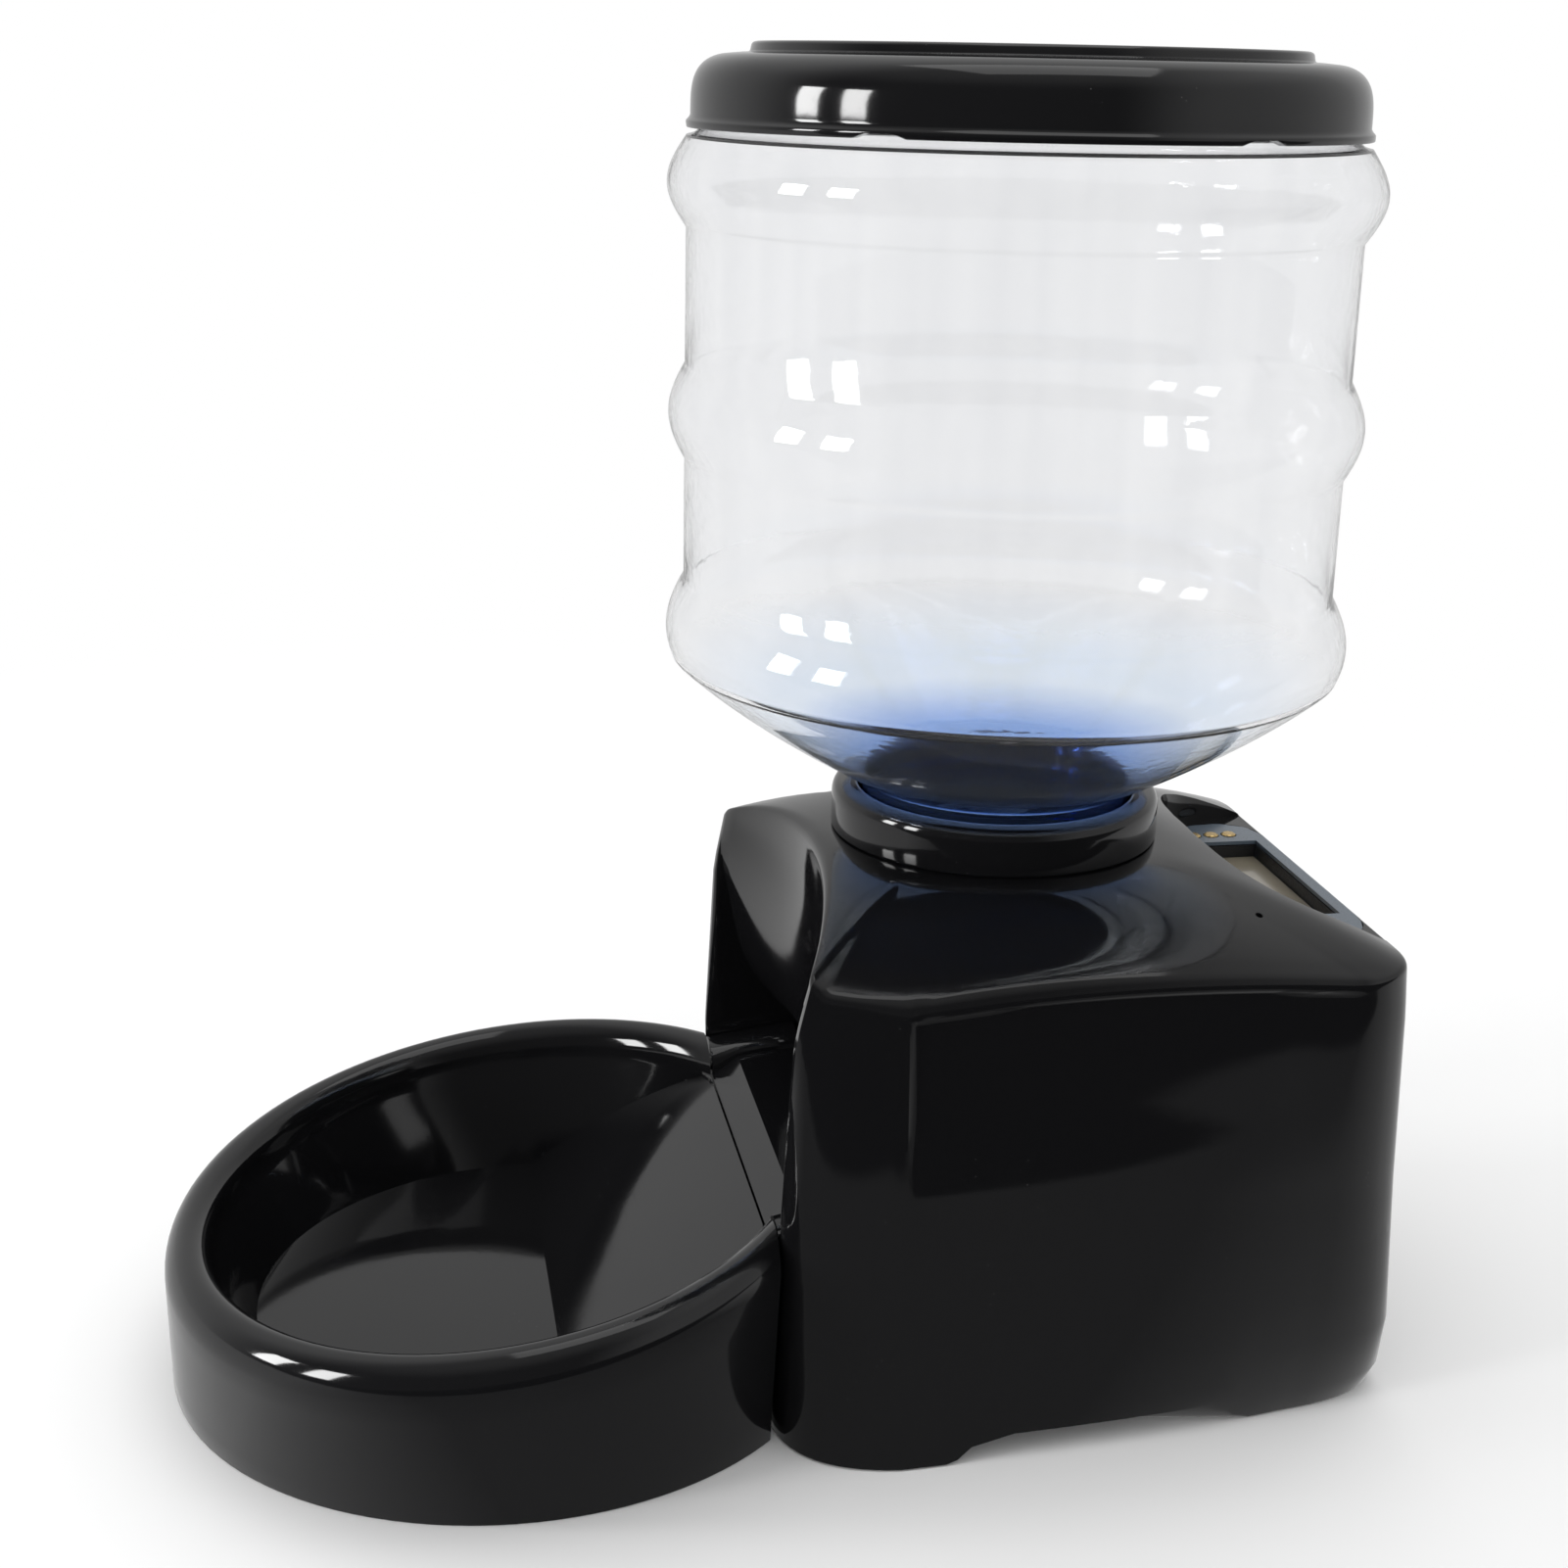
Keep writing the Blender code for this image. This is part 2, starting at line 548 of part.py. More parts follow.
def make_dispenser():
    """Wheel chamber with its funnel and ramp, the paddle wheel, its shaft and bushes."""
    chamber = ((-0.0440, 0.0700), (-0.0440, 0.0915), (-0.0335, 0.1080), (-0.0335, 0.1500), (0.0335, 0.1500),
               (0.0335, 0.0980), (0.0200, 0.0855), (-0.0200, 0.0855), (-0.0380, 0.0700))
    body = prism("dispenser_housing", chamber, -0.0335, 0.0335, "dark_abs", axis="X", origin=(0, 0, ROTOR_Z))
    funnel = turn("funnel", [(0.0330, 0.1450), (0.0445, 0.1505), (0.0445, 0.1585)], "dark_abs", sides=ROUND)
    combine(body, [funnel], "UNION")
    ramp = ((-0.0600, 0.0660), (-0.0443, 0.0758), (-0.0180, 0.0942), (0.0, 0.1000), (-0.0240, 0.1180),
            (-0.0305, 0.1080), (-0.0420, 0.0880), (-0.0600, 0.0860))
    cuts = [
        turn("drum", [(DRUM_R, -DRUM_HALF), (DRUM_R, DRUM_HALF)], "dark_abs", "X", (0, 0, ROTOR_Z), 32),
        prism("ramp", ramp, -DRUM_HALF, DRUM_HALF, "dark_abs", axis="X"),
        turn("throat", [(0.0250, 0.1380), (0.0290, 0.1450), (0.0392, 0.1530), (0.0392, 0.1700)], "dark_abs",
             sides=ROUND),
        turn("bore", [(0.0068, -0.0500), (0.0068, 0.0500)], "dark_abs", "X", (0, 0, ROTOR_Z)),
    ]
    combine(body, cuts)

    star = []
    for k in range(PADDLES):
        base = 2 * math.pi * k / PADDLES
        for angle, radius in ((-0.16, 0.0095), (-0.035, ROTOR_R), (0.035, ROTOR_R), (0.16, 0.0095)):
            star.append((radius * math.cos(base + angle), radius * math.sin(base + angle)))
    axle = (0, 0, ROTOR_Z)
    rotor = prism("paddle_wheel", star, -0.0305, 0.0305, "white_nylon", "X", axle)
    bore = SHAFT_R + GAP
    combine(rotor, [turn("rotor_bore", [(bore, -0.05), (bore, 0.05)], "steel", "X", axle)])
    turn("rotor_shaft", [(SHAFT_R, -0.0380), (SHAFT_R, 0.0432)], "steel", "X", axle)
    for name, side in (("bush_left", -1), ("bush_right", 1)):
        inner, outer = 0.0311 * side, 0.0348 * side
        ring = [(SHAFT_R + GAP, inner), (0.0065, inner), (0.0065, outer), (SHAFT_R + GAP, outer)]
        turn(name, ring, "white_nylon", "X", axle, closed=True)


def teeth(count, phase=0.0):
    """Outline of a spur gear with straight flanks and a little play."""
    pitch_r = MODULE * count / 2
    step = 2 * math.pi / count
    out = []
    for k in range(count):
        middle = phase + k * step
        for share, radius in ((-0.31, pitch_r - 1.25 * MODULE), (-0.115, pitch_r + 0.9 * MODULE),
                              (0.115, pitch_r + 0.9 * MODULE), (0.31, pitch_r - 1.25 * MODULE)):
            angle = middle + share * step
            out.append((radius * math.cos(angle), radius * math.sin(angle)))
    return out


def make_drive():
    """Gear on the wheel's shaft, pinion, and the gear motor on its bracket."""
    axle = (0, 0, ROTOR_Z)
    reach = MODULE * (GEAR_TEETH + PINION_TEETH) / 2
    motor = (0, reach * math.cos(PINION_ANGLE), ROTOR_Z + reach * math.sin(PINION_ANGLE))
    gear = prism("drive_gear", teeth(GEAR_TEETH, PINION_ANGLE), GEAR_X, GEAR_X + GEAR_W, "white_nylon", "X", axle)
    bore = SHAFT_R + GAP
    combine(gear, [turn("gear_bore", [(bore, 0.0), (bore, 0.06)], "steel", "X", axle)])
    phase = PINION_ANGLE + math.pi + math.pi / PINION_TEETH
    pinion = prism("motor_pinion", teeth(PINION_TEETH, phase), GEAR_X, GEAR_X + GEAR_W, "white_nylon", "X", motor)
    pin = 0.0020 + GAP
    combine(pinion, [turn("pinion_bore", [(pin, 0.0), (pin, 0.06)], "steel", "X", motor)])
    plate_x = GEAR_X + GEAR_W + 0.0022
    plate = box("motor_bracket", (plate_x, motor[1] - 0.0150, motor[2] - 0.0400),
                (plate_x + 0.0018, motor[1] + 0.0150, motor[2] + 0.0150), "steel")
    combine(plate, [turn("boss_hole", [(0.0050, 0.0), (0.0050, 0.06)], "steel", "X", motor)])
    post_z = motor[2] - 0.0340
    for k, dy in enumerate((-0.0110, 0.0110)):
        turn(f"bracket_post_{k + 1}", [(0.0022, 0.0338), (0.0022, plate_x - GAP)], "steel", "X",
             (0, motor[1] + dy, post_z), 12)
    start = plate_x + 0.0018 + GAP
    gearbox = box("motor_gearbox", (start, motor[1] - 0.0120, motor[2] - 0.0150),
                  (start + 0.0110, motor[1] + 0.0120, motor[2] + 0.0120), "dark_abs", origin=motor)
    nose = turn("motor_nose", [(0.0045, plate_x + 0.0002), (0.0045, start + 0.0040)], "steel", "X", motor)
    combine(gearbox, [nose], "UNION")
    turn("motor_can", [(0.0085, start + 0.0113), (0.0100, start + 0.0123), (0.0100, start + 0.0283),
                       (0.0050, start + 0.0290)], "steel", "X", motor, 24)
    turn("motor_shaft", [(0.0020, GEAR_X), (0.0020, plate_x - GAP)], "steel", "X", motor, 12)


# Control panel -------------------------------------------------------------------------------------

def make_panel():
    """Fascia film, display well and screen, keys, board and microphone."""
    half, front, rear = WINDOW
    film = prism("control_fascia", FASCIA, PANEL_Z - FASCIA_T, PANEL_Z, "fascia_film",
                 origin=(0, 0.0870, PANEL_Z))
    holes = [box("film_window", (-half, front, 0.1400), (half, rear, 0.1500), "lcd")]
    for k, y in enumerate(BUTTON_YS):
        radius = BUTTON_R + GAP
        holes.append(turn(f"film_hole_{k}", [(radius, 0.14), (radius, 0.15)], "lcd", centre=(BUTTON_X, y, 0)))
    combine(film, holes)

    wall = 0.0012
    low, high = 0.1335, PANEL_Z - FASCIA_T - GAP
    well = box("display_bezel", (-half - wall, front - wall, low), (half + wall, rear + wall, high), "dark_abs")
    combine(well, [box("well", (-half + GAP, front + GAP, 0.1000), (half - GAP, rear - GAP, 0.2000), "lcd")])
    edge = 2 * GAP
    box("display_screen", (-half + edge, front + edge, SCREEN_TOP - 0.0028), (half - edge, rear - edge, SCREEN_TOP),
        "lcd")
    box("control_board", (-0.0480, 0.0725, 0.1310), (0.0480, 0.1020, 0.1326), "circuit")
    for k, y in enumerate(BUTTON_YS):
        centre = (BUTTON_X, y, 0)
        turn(f"switch_{k + 1}", [(0.0021, 0.1329), (0.0021, 0.1352), (0.0010, 0.1354), (0.0010, 0.1360)],
             "dark_abs", centre=centre, sides=12)
        turn(f"key_{k + 1}", [(0.0015, 0.1371), (0.0015, 0.1400), (BUTTON_R, 0.1405), (BUTTON_R, 0.1452),
                              (BUTTON_R - 0.0006, 0.1456)], "gold_key", centre=centre,
             origin=(BUTTON_X, y, PANEL_Z))
    turn("microphone", [(0.0032, 0.1420), (0.0045, 0.1425), (0.0045, 0.1490), (0.0030, 0.1492)], "steel",
         centre=(MIC[0], MIC[1], -0.0020))


# Underside -----------------------------------------------------------------------------------------

def spring_points(centre, y0, y1, r0, r1, turns):
    """Points of a conical spring along Y."""
    out = []
    steps = turns * 9
    for k in range(steps + 1):
        t = k / steps
        angle = 2 * math.pi * turns * t
        radius = mix(r0, r1, t)
        out.append(Vector((centre[0] + radius * math.cos(angle), mix(y0, y1, t), centre[2] + radius * math.sin(angle))))
    return out


def tube(name, points, radius, stuff, sides=5):
    """A wire along a line of points."""
    rings = []
    for k, here in enumerate(points):
        ahead = (points[min(k + 1, len(points) - 1)] - points[max(k - 1, 0)]).normalized()
        side = ahead.cross(Vector((0, 1, 0))).normalized()
        up = side.cross(ahead)
        ring = []
        for i in range(sides):
            angle = 2 * math.pi * i / sides
            ring.append(tuple(here + side * radius * math.cos(angle) + up * radius * math.sin(angle)))
        rings.append(ring)
    add(name, *loft(rings), stuff, origin=tuple(points[0]))


def make_cell(number, x, flipped):
    """One cell with its contact plate at the nub and its spring at the flat end."""
    def along(y):
        return TRAY_Y0 + TRAY_Y1 - y if flipped else y

    plate = TRAY_Y1 - TRAY_T - GAP
    nub = plate - CONTACT_T - GAP
    top, flat = nub - NUB_L, nub - NUB_L - CELL_L
    body = [(CELL_R - 0.0012, flat), (CELL_R, flat + 0.0010), (CELL_R, top - 0.0010), (CELL_R - 0.0012, top),
            (0.0048, top + 0.0002), (0.0045, nub)]
    turn(f"cell_{number}", [(r, along(y)) for r, y in body], "cell_wrap", "Y", (x, 0, CELL_Z), 20)
    faces = sorted((along(plate - CONTACT_T), along(plate)))
    box(f"contact_plate_{number}", (x - 0.0060, faces[0], CELL_Z - 0.0060), (x + 0.0060, faces[1], CELL_Z + 0.0060),
        "steel")
    wire = 0.0004
    wall_end = along(TRAY_Y0 + TRAY_T + GAP + wire + 0.0002)
    cell_end = along(flat - GAP - wire - 0.0002)
    coil = spring_points((x, 0, CELL_Z), wall_end, cell_end, 0.0065, 0.0035, 3)
    tube(f"contact_spring_{number}", coil, wire, "steel")


def make_underside():
    """Base plate with door rails, battery door, tray, cells, contacts, speaker, feet and screws."""
    low, high = PLATE_Z, PLATE_Z + PLATE_T
    rings = [mirror([(x, y, z) for x, y in plan_ring(z, WALL + 0.0006)]) for z in (low, high)]
    plate = add("base_plate", *loft(rings), "dark_abs", origin=(0, 0, PLATE_Z))
    rail_y1 = DOOR_Y1 + 0.0010
    rails = []
    for side in (-1, 1):
        foot = sorted((side * (DOOR_HALF + 0.0005), side * (DOOR_HALF + 0.0030)))
        lip = sorted((side * (DOOR_HALF - 0.0025), side * (DOOR_HALF + 0.0030)))
        rails.append(box(f"rail_{side}", (foot[0], DOOR_Y0, low - 0.0045), (foot[1], rail_y1, low + 0.0005), "dark_abs"))
        rails.append(box(f"lip_{side}", (lip[0], DOOR_Y0, low - 0.0058), (lip[1], rail_y1, low - 0.0032), "dark_abs"))
    combine(plate, rails, "UNION")
    cuts = [box("bay", (-0.0515, 0.0345, 0.0), (0.0515, 0.1018, 0.0200), "dark_abs")]
    cuts += [turn(f"clear_{k}", [(0.0018, 0.0), (0.0018, 0.0200)], "dark_abs", centre=(x, y, 0), sides=12)
             for k, (x, y) in enumerate(SCREWS)]
    for k in range(5):
        x = -0.0160 + 0.0080 * k
        cuts.append(box(f"slot_{k}", (x - 0.0012, -0.0440, 0.0), (x + 0.0012, -0.0160, 0.0200), "dark_abs"))
    combine(plate, cuts)

    door_top = low - GAP
    door = box("battery_door", (-DOOR_HALF, DOOR_Y0, door_top - 0.0022), (DOOR_HALF, DOOR_Y1, door_top), "dark_abs",
               origin=(0, DOOR_Y0, door_top))
    grip = [box(f"grip_{k}", (-0.0120, 0.0400 + 0.0040 * k, 0.0), (0.0120, 0.0416 + 0.0040 * k, door_top - 0.0014),
                "dark_abs") for k in range(3)]
    combine(door, grip)

    tray = box("battery_tray", (-TRAY_X, TRAY_Y0, high + GAP), (TRAY_X, TRAY_Y1, TRAY_TOP), "dark_abs")
    combine(tray, [box("tray_hollow", (TRAY_T - TRAY_X, TRAY_Y0 + TRAY_T, 0.0),
                       (TRAY_X - TRAY_T, TRAY_Y1 - TRAY_T, TRAY_TOP - TRAY_T), "dark_abs")])
    for k in range(3):
        make_cell(k + 1, (k - 1) * CELL_PITCH, flipped=k == 1)

    cone = [(0.0100, high + GAP + 0.0150), (0.0100, high + GAP + 0.0080), (0.0190, high + GAP + 0.0045),
            (0.0190, high + GAP), (0.0165, high + GAP), (0.0165, high + GAP + 0.0020),
            (0.0060, high + GAP + 0.0060), (0.0030, high + GAP + 0.0064)]
    turn("speaker", cone[::-1], "steel", centre=(0, -0.0300, 0), sides=24)

    for k, (x, y) in enumerate(FEET):
        turn(f"foot_{k + 1}", [(0.0052, 0.0), (0.0060, 0.0008), (0.0060, low - GAP)], "rubber", centre=(x, y, 0))
    for k, (x, y) in enumerate(SCREWS):
        turn(f"screw_{k + 1}", [(0.0022, low - 0.0020), (0.0030, low - 0.0014), (0.0030, low - GAP),
                                (0.0014, low - GAP), (0.0014, 0.0220), (0.0006, 0.0232)], "steel",
             centre=(x, y, 0), sides=12)


def main():
    """Clear the scene and build every piece."""
    for old in list(bpy.data.objects):
        bpy.data.objects.remove(old)
    make_hopper()
    make_housing()
    make_bowl()
    make_spout()
    make_dispenser()
    make_drive()
    make_panel()
    make_underside()


main()
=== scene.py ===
"""Looks of an automatic pet feeder: glossy black base and bowl, clear hopper bottle, control panel.

Shapes are written in metres in a frame whose origin is on the floor under the hopper's axis, the
bowl towards -Y. build() moves them to the part's own frame.
"""
import math

import bmesh
import bpy
from mathutils import Matrix, Vector


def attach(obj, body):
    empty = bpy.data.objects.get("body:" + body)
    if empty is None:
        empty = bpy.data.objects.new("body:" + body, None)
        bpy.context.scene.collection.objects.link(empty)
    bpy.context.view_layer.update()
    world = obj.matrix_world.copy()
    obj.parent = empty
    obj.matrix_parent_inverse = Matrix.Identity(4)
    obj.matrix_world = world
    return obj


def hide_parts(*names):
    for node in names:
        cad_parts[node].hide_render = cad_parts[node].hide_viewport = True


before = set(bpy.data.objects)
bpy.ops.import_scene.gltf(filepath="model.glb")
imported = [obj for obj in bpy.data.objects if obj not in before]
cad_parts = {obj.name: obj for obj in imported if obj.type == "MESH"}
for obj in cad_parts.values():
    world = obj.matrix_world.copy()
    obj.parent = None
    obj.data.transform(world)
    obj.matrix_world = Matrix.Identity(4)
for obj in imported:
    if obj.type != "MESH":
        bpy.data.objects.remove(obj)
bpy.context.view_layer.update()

AXIS_Y = 0.0694
FINE = 160                 # sides of the revolved pieces
GAP = 0.0003               # clearance between pieces that meet
SHELL = 0.0024             # wall of the housing and the bowl

# Hopper bottle
BARREL_R = 0.0951
BULGES = ((0.3555, 0.0125, 0.0054), (0.2915, 0.0135, 0.0047))
LOW_BULGE = (0.2285, 0.0145, 0.0051)
SHOULDER = ((0.0984, 0.2205), (0.0882, 0.2110), (0.0690, 0.1970), (0.0412, 0.1822))
NECK_R = 0.0405
NECK_BOTTOM = 0.1600
NECK_BEAD = 0.0006
BOTTLE_WALL = 0.0016
RIM_TOP = 0.3770
SKIRT_EDGE = 0.3713        # height of the lid's lower edge in its grip gaps
GRIP_STEP, GRIP_HALF = 60.0, 3.2       # spacing and half width of the grip gaps, in degrees
EDGE_POINTS = 9            # points of the skirt's profile that a grip gap may raise

# Base housing
TENT_R = 0.0499
TENT_Z = 0.1658
SECTIONS = (
    (0.0000, ((0.0600, -0.0765), (0.0860, -0.0740), (0.0888, -0.0430)),
     ((0.0745, 0.0800), (0.0700, 0.1145), (0.0500, 0.1145)), 0.0022),
    (0.0150, ((0.0629, -0.0766), (0.0855, -0.0745), (0.0886, -0.0432)),
     ((0.0800, 0.0815), (0.0780, 0.1145), (0.0625, 0.1145)), 0.0020),
    (0.0750, ((0.0742, -0.0772), (0.0835, -0.0765), (0.0878, -0.0440)),
     ((0.0820, 0.0832), (0.0805, 0.1106), (0.0622, 0.1106)), 0.0015),
    (0.1300, ((0.0762, -0.0745), (0.0805, -0.0700), (0.0872, -0.0450)),
     ((0.0856, 0.0885), (0.0836, 0.1058), (0.0680, 0.1058)), 0.0008),
    (0.1450, ((0.0770, -0.0714), (0.0800, -0.0640), (0.0870, -0.0455)),
     ((0.0861, 0.0885), (0.0836, 0.1047), (0.0670, 0.1047)), 0.0005),
)
# Alcove: height, side Y, middle Y and half width of its back
ALCOVE = (
    (0.0580, -0.0440, -0.0475, 0.0713), (0.0775, -0.0440, -0.0475, 0.0713),
    (0.0846, -0.0557, -0.0500, 0.0713), (0.0920, -0.0610, -0.0515, 0.0713),
    (0.1010, -0.0655, -0.0530, 0.0713), (0.1160, -0.0690, -0.0545, 0.0716),
    (0.1340, -0.0722, -0.0560, 0.0725), (0.1500, -0.0718, -0.0564, 0.0745),
    (0.1900, -0.0718, -0.0568, 0.0750),
)
ALCOVE_FLOOR = 0.0580
CREASE_Z = 0.1342
JAMB_R = 0.0016
PANEL_DIP = 0.0012         # how far the side panel lies under its arched border
SIDE_START = -0.0450       # where the side walls begin behind the front corners
SIDE_LENGTH = 0.1290

# Top edge: the arch over the alcove, the front corners' edge, the arch along each side, the rear
FRONT_CROWN, FRONT_DROP, FRONT_HALF, FRONT_POWER = 0.1641, 0.0161, 0.0775, 2.1
CORNER_X = 0.0755
CORNER_Y, CORNER_RUN = -0.0714, 0.0264
CORNER_TOPS = (0.1452, 0.1436)
SIDE_CROWN, SIDE_DROP, SIDE_MIDDLE, SIDE_HALF = 0.1478, 0.0041, 0.0250, 0.0680
REAR_TOP = 0.1455

# Control panel
PANEL_Z = 0.1450
RECESS = ((0.0615, 0.1250), (0.0608, 0.1030), (0.0590, 0.0940), (0.0550, 0.0823),
          (0.0500, 0.0757), (0.0440, 0.0702), (0.0300, 0.0645), (0.0100, 0.0620))
FASCIA = ((0.0530, 0.0940), (0.0480, 0.1020), (0.0400, 0.1046), (-0.0400, 0.1046),
          (-0.0480, 0.1020), (-0.0530, 0.0940), (-0.0520, 0.0835), (-0.0455, 0.0745),
          (-0.0330, 0.0690), (0.0330, 0.0690), (0.0455, 0.0745), (0.0520, 0.0835))
FASCIA_T = 0.0012
WINDOW = (0.0345, 0.0735, 0.1005)
WINDOW_MARGIN = 0.0016
BUTTON_X = -0.0415
BUTTON_YS = (0.0935, 0.0874, 0.0813, 0.0752)
BUTTON_R = 0.0024
MIC = (0.0630, 0.0625)
MIC_R = 0.0011
CUT_LOW, CUT_HIGH = 0.1300, 0.2000     # lower and highest end of the cuts in the top

# Bowl
BOWL_Y = -0.1511
PARTING_Y = -0.0777
RIM_X, RIM_Y = 0.1130, 0.1022
FOOT_X, FOOT_Y = 0.0977, 0.1018
CROWN_W, CROWN_H = 0.0139, 0.0100
LIP_DROP = 0.0090
RIM_Z, RIM_SLOPE = 0.0609, 0.1364
FLOOR_Z = 0.0175
FLOOR_X, FLOOR_YR, FLOOR_YC = 0.0865, 0.0859, -0.1412
CREASE_Y = -0.1370
SPOUT_Z = 0.0610
SPOUT_HALF = 0.0485
FLOOR_STEPS, RAMP_STEPS = 30, 16       # steps of an oval's half along the floor and the ramp
WALL_STEPS, CROWN_STEPS = 6, 16        # rings of the wall and of the rim's crown

# Spout: Y, half width of the floor and height of the floor
SPOUT_ROWS = (
    (PARTING_Y + 0.0004, SPOUT_HALF, 0.0613), (-0.0767, 0.0470, 0.0617), (-0.0687, 0.0310, 0.0676),
    (-0.0600, 0.0400, 0.0690), (-0.0540, 0.0440, 0.0695), (-0.0481, 0.0460, 0.0700),
)
SPOUT_LIP_X, SPOUT_SIDE_X = 0.0558, 0.0708
SPOUT_BOTTOM = 0.0586

# Light and camera, in the part's own frame
WINDOW_LIGHTS = (("window_left", -9.0), ("window_right", 10.0))
WINDOW_MIDDLE = 7.5        # bearing that the two lights are turned from, in degrees
WINDOW_AWAY, WINDOW_Z = 3.0, 0.85
WINDOW_SIZE = (0.50, 1.0)
WINDOW_POWER = 28.0
LIGHT_TARGET = (0.0, 0.0, 0.20)
OVERHEAD_AT, OVERHEAD_TARGET = (0.0, 0.2, 2.6), (0, 0, 0.1)
OVERHEAD_SIZE = (1.6, 1.6)
OVERHEAD_POWER = 9.0
ROOM_BASE = 0.09           # strength of the room that glossy surfaces mirror
CAMERA_AT = (0.64876, -0.11663, 0.38700)
CAMERA_TURN = (79.4465, 17.3186, 1.173)     # yaw, pitch and roll in degrees
SENSOR, FOCAL = 36.0, 52.965


# Small helpers ----------------------------------------------------------------------------------

def mix(a, b, t):
    """Blend two numbers or points."""
    if isinstance(a, tuple):
        return tuple(mix(p, q, t) for p, q in zip(a, b))
    return a + (b - a) * t


def bend(points, t):
    """A point on the Bezier curve of these handles."""
    row = list(points)
    while len(row) > 1:
        row = [mix(p, q, t) for p, q in zip(row, row[1:])]
    return row[0]


def curve(points, steps, skip=0):
    """Points along a Bezier curve, without the first ones where skip says so."""
    return [bend(points, k / steps) for k in range(skip, steps + 1)]


def ease(low, high, value):
    """Smooth step from 0 at low to 1 at high."""
    t = min(max((value - low) / (high - low), 0.0), 1.0)
    return t * t * (3 - 2 * t)


def between(rows, z):
    """Smoothly interpolated row of numbers at a height. The first number of a row is its height."""
    last = len(rows) - 1
    k = 0
    while k < last - 1 and z > rows[k + 1][0]:
        k += 1
    a, b = rows[k], rows[k + 1]
    t = min(max((z - a[0]) / (b[0] - a[0]), 0.0), 1.0)
    before, after = rows[max(k - 1, 0)], rows[min(k + 2, last)]
    out = []
    for j in range(1, len(a)):
        run = b[0] - a[0]
        rise_a = (b[j] - before[j]) / (b[0] - before[0]) * run
        rise_b = (after[j] - a[j]) / (after[0] - a[0]) * run
        h = t * t
        out.append((2 * t * h - 3 * h + 1) * a[j] + (t * h - 2 * h + t) * rise_a
                   + (3 * h - 2 * t * h) * b[j] + (t * h - h) * rise_b)
    return out


def mirror(half):
    """A full ring from its +X half, whose first and last points lie in the middle plane."""
    return half + [(-p[0], *p[1:]) for p in half[-2:0:-1]]


def loft(rings, closed=False, caps=True):
    """Join rings of equal length by quads. closed joins the last ring to the first."""
    count = len(rings[0])
    verts = [p for ring in rings for p in ring]
    faces = []
    total = len(rings)
    for k in range(total if closed else total - 1):
        a, b = k * count, (k + 1) % total * count
        for i in range(count):
            j = (i + 1) % count
            faces.append((a + i, a + j, b + j, b + i))
    if caps and not closed:
        faces.append(tuple(range(count))[::-1])
        faces.append(tuple(range((total - 1) * count, total * count)))
    return verts, faces


def build(name, verts, faces, material, sharp=35):
    """A mesh object in the part's frame, with edges beyond the sharp angle (degrees) kept crisp."""
    mesh = bpy.data.meshes.new(name)
    mesh.from_pydata([(x, y + AXIS_Y, z) for x, y, z in verts], [], faces)
    shape = bmesh.new()
    shape.from_mesh(mesh)
    bmesh.ops.remove_doubles(shape, verts=shape.verts, dist=1e-6)
    bmesh.ops.dissolve_degenerate(shape, edges=shape.edges, dist=1e-6)
    bmesh.ops.recalc_face_normals(shape, faces=shape.faces)
    shape.to_mesh(mesh)
    shape.free()
    mesh.materials.append(material)
    mesh.shade_smooth()
    mesh.set_sharp_from_angle(angle=math.radians(sharp))
    made = bpy.data.objects.new(name, mesh)
    bpy.context.scene.collection.objects.link(made)
    return made


def hand_over(piece, body, slot, *nodes):
    """Say which body a piece rides on and the CAD nodes that it stands for. The slot argument is not used.
    """
    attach(piece, body)
    if nodes:
        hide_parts(*nodes)


def revolve(name, profile, material, closed=True, shift=None):
    """Turn (radius, height) points about the hopper's axis. shift(angle, k) may raise a point."""
    rings = []
    for k, (radius, height) in enumerate(profile):
        ring = []
        for i in range(FINE):
            angle = 2 * math.pi * i / FINE
            rise = shift(angle, k) if shift else 0.0
            ring.append((radius * math.cos(angle), radius * math.sin(angle), height + rise))
        rings.append(ring)
    return build(name, *loft(rings, closed), material)


def apply_modifiers(piece):
    """Make a piece's mesh what its modifiers show."""
    bpy.context.view_layer.update()
    graph = bpy.context.evaluated_depsgraph_get()
    result = bpy.data.meshes.new_from_object(piece.evaluated_get(graph))
    piece.modifiers.clear()
    piece.data = result
    return result


def cut(piece, tools):
    """Subtract closed shapes from a piece and delete them."""
    for tool in tools:
        step = piece.modifiers.new("cut", "BOOLEAN")
        step.operation = "DIFFERENCE"
        step.solver = "EXACT"
        step.object = tool
    mesh = apply_modifiers(piece)
    for tool in tools:
        bpy.data.objects.remove(tool)
    shape = bmesh.new()
    shape.from_mesh(mesh)
    large = [face for face in shape.faces if len(face.verts) > 4]
    bmesh.ops.triangulate(shape, faces=large, quad_method="BEAUTY", ngon_method="EAR_CLIP")
    bmesh.ops.remove_doubles(shape, verts=shape.verts, dist=2e-6)
    bmesh.ops.dissolve_degenerate(shape, edges=shape.edges, dist=2e-6)
    shape.to_mesh(mesh)
    shape.free()


def prism(name, outline, low, high, material):
    """A vertical prism."""
    return build(name, *loft([[(x, y, z) for x, y in outline] for z in (low, high)]), material)


# Materials ----------------------------------------------------------------------------------------

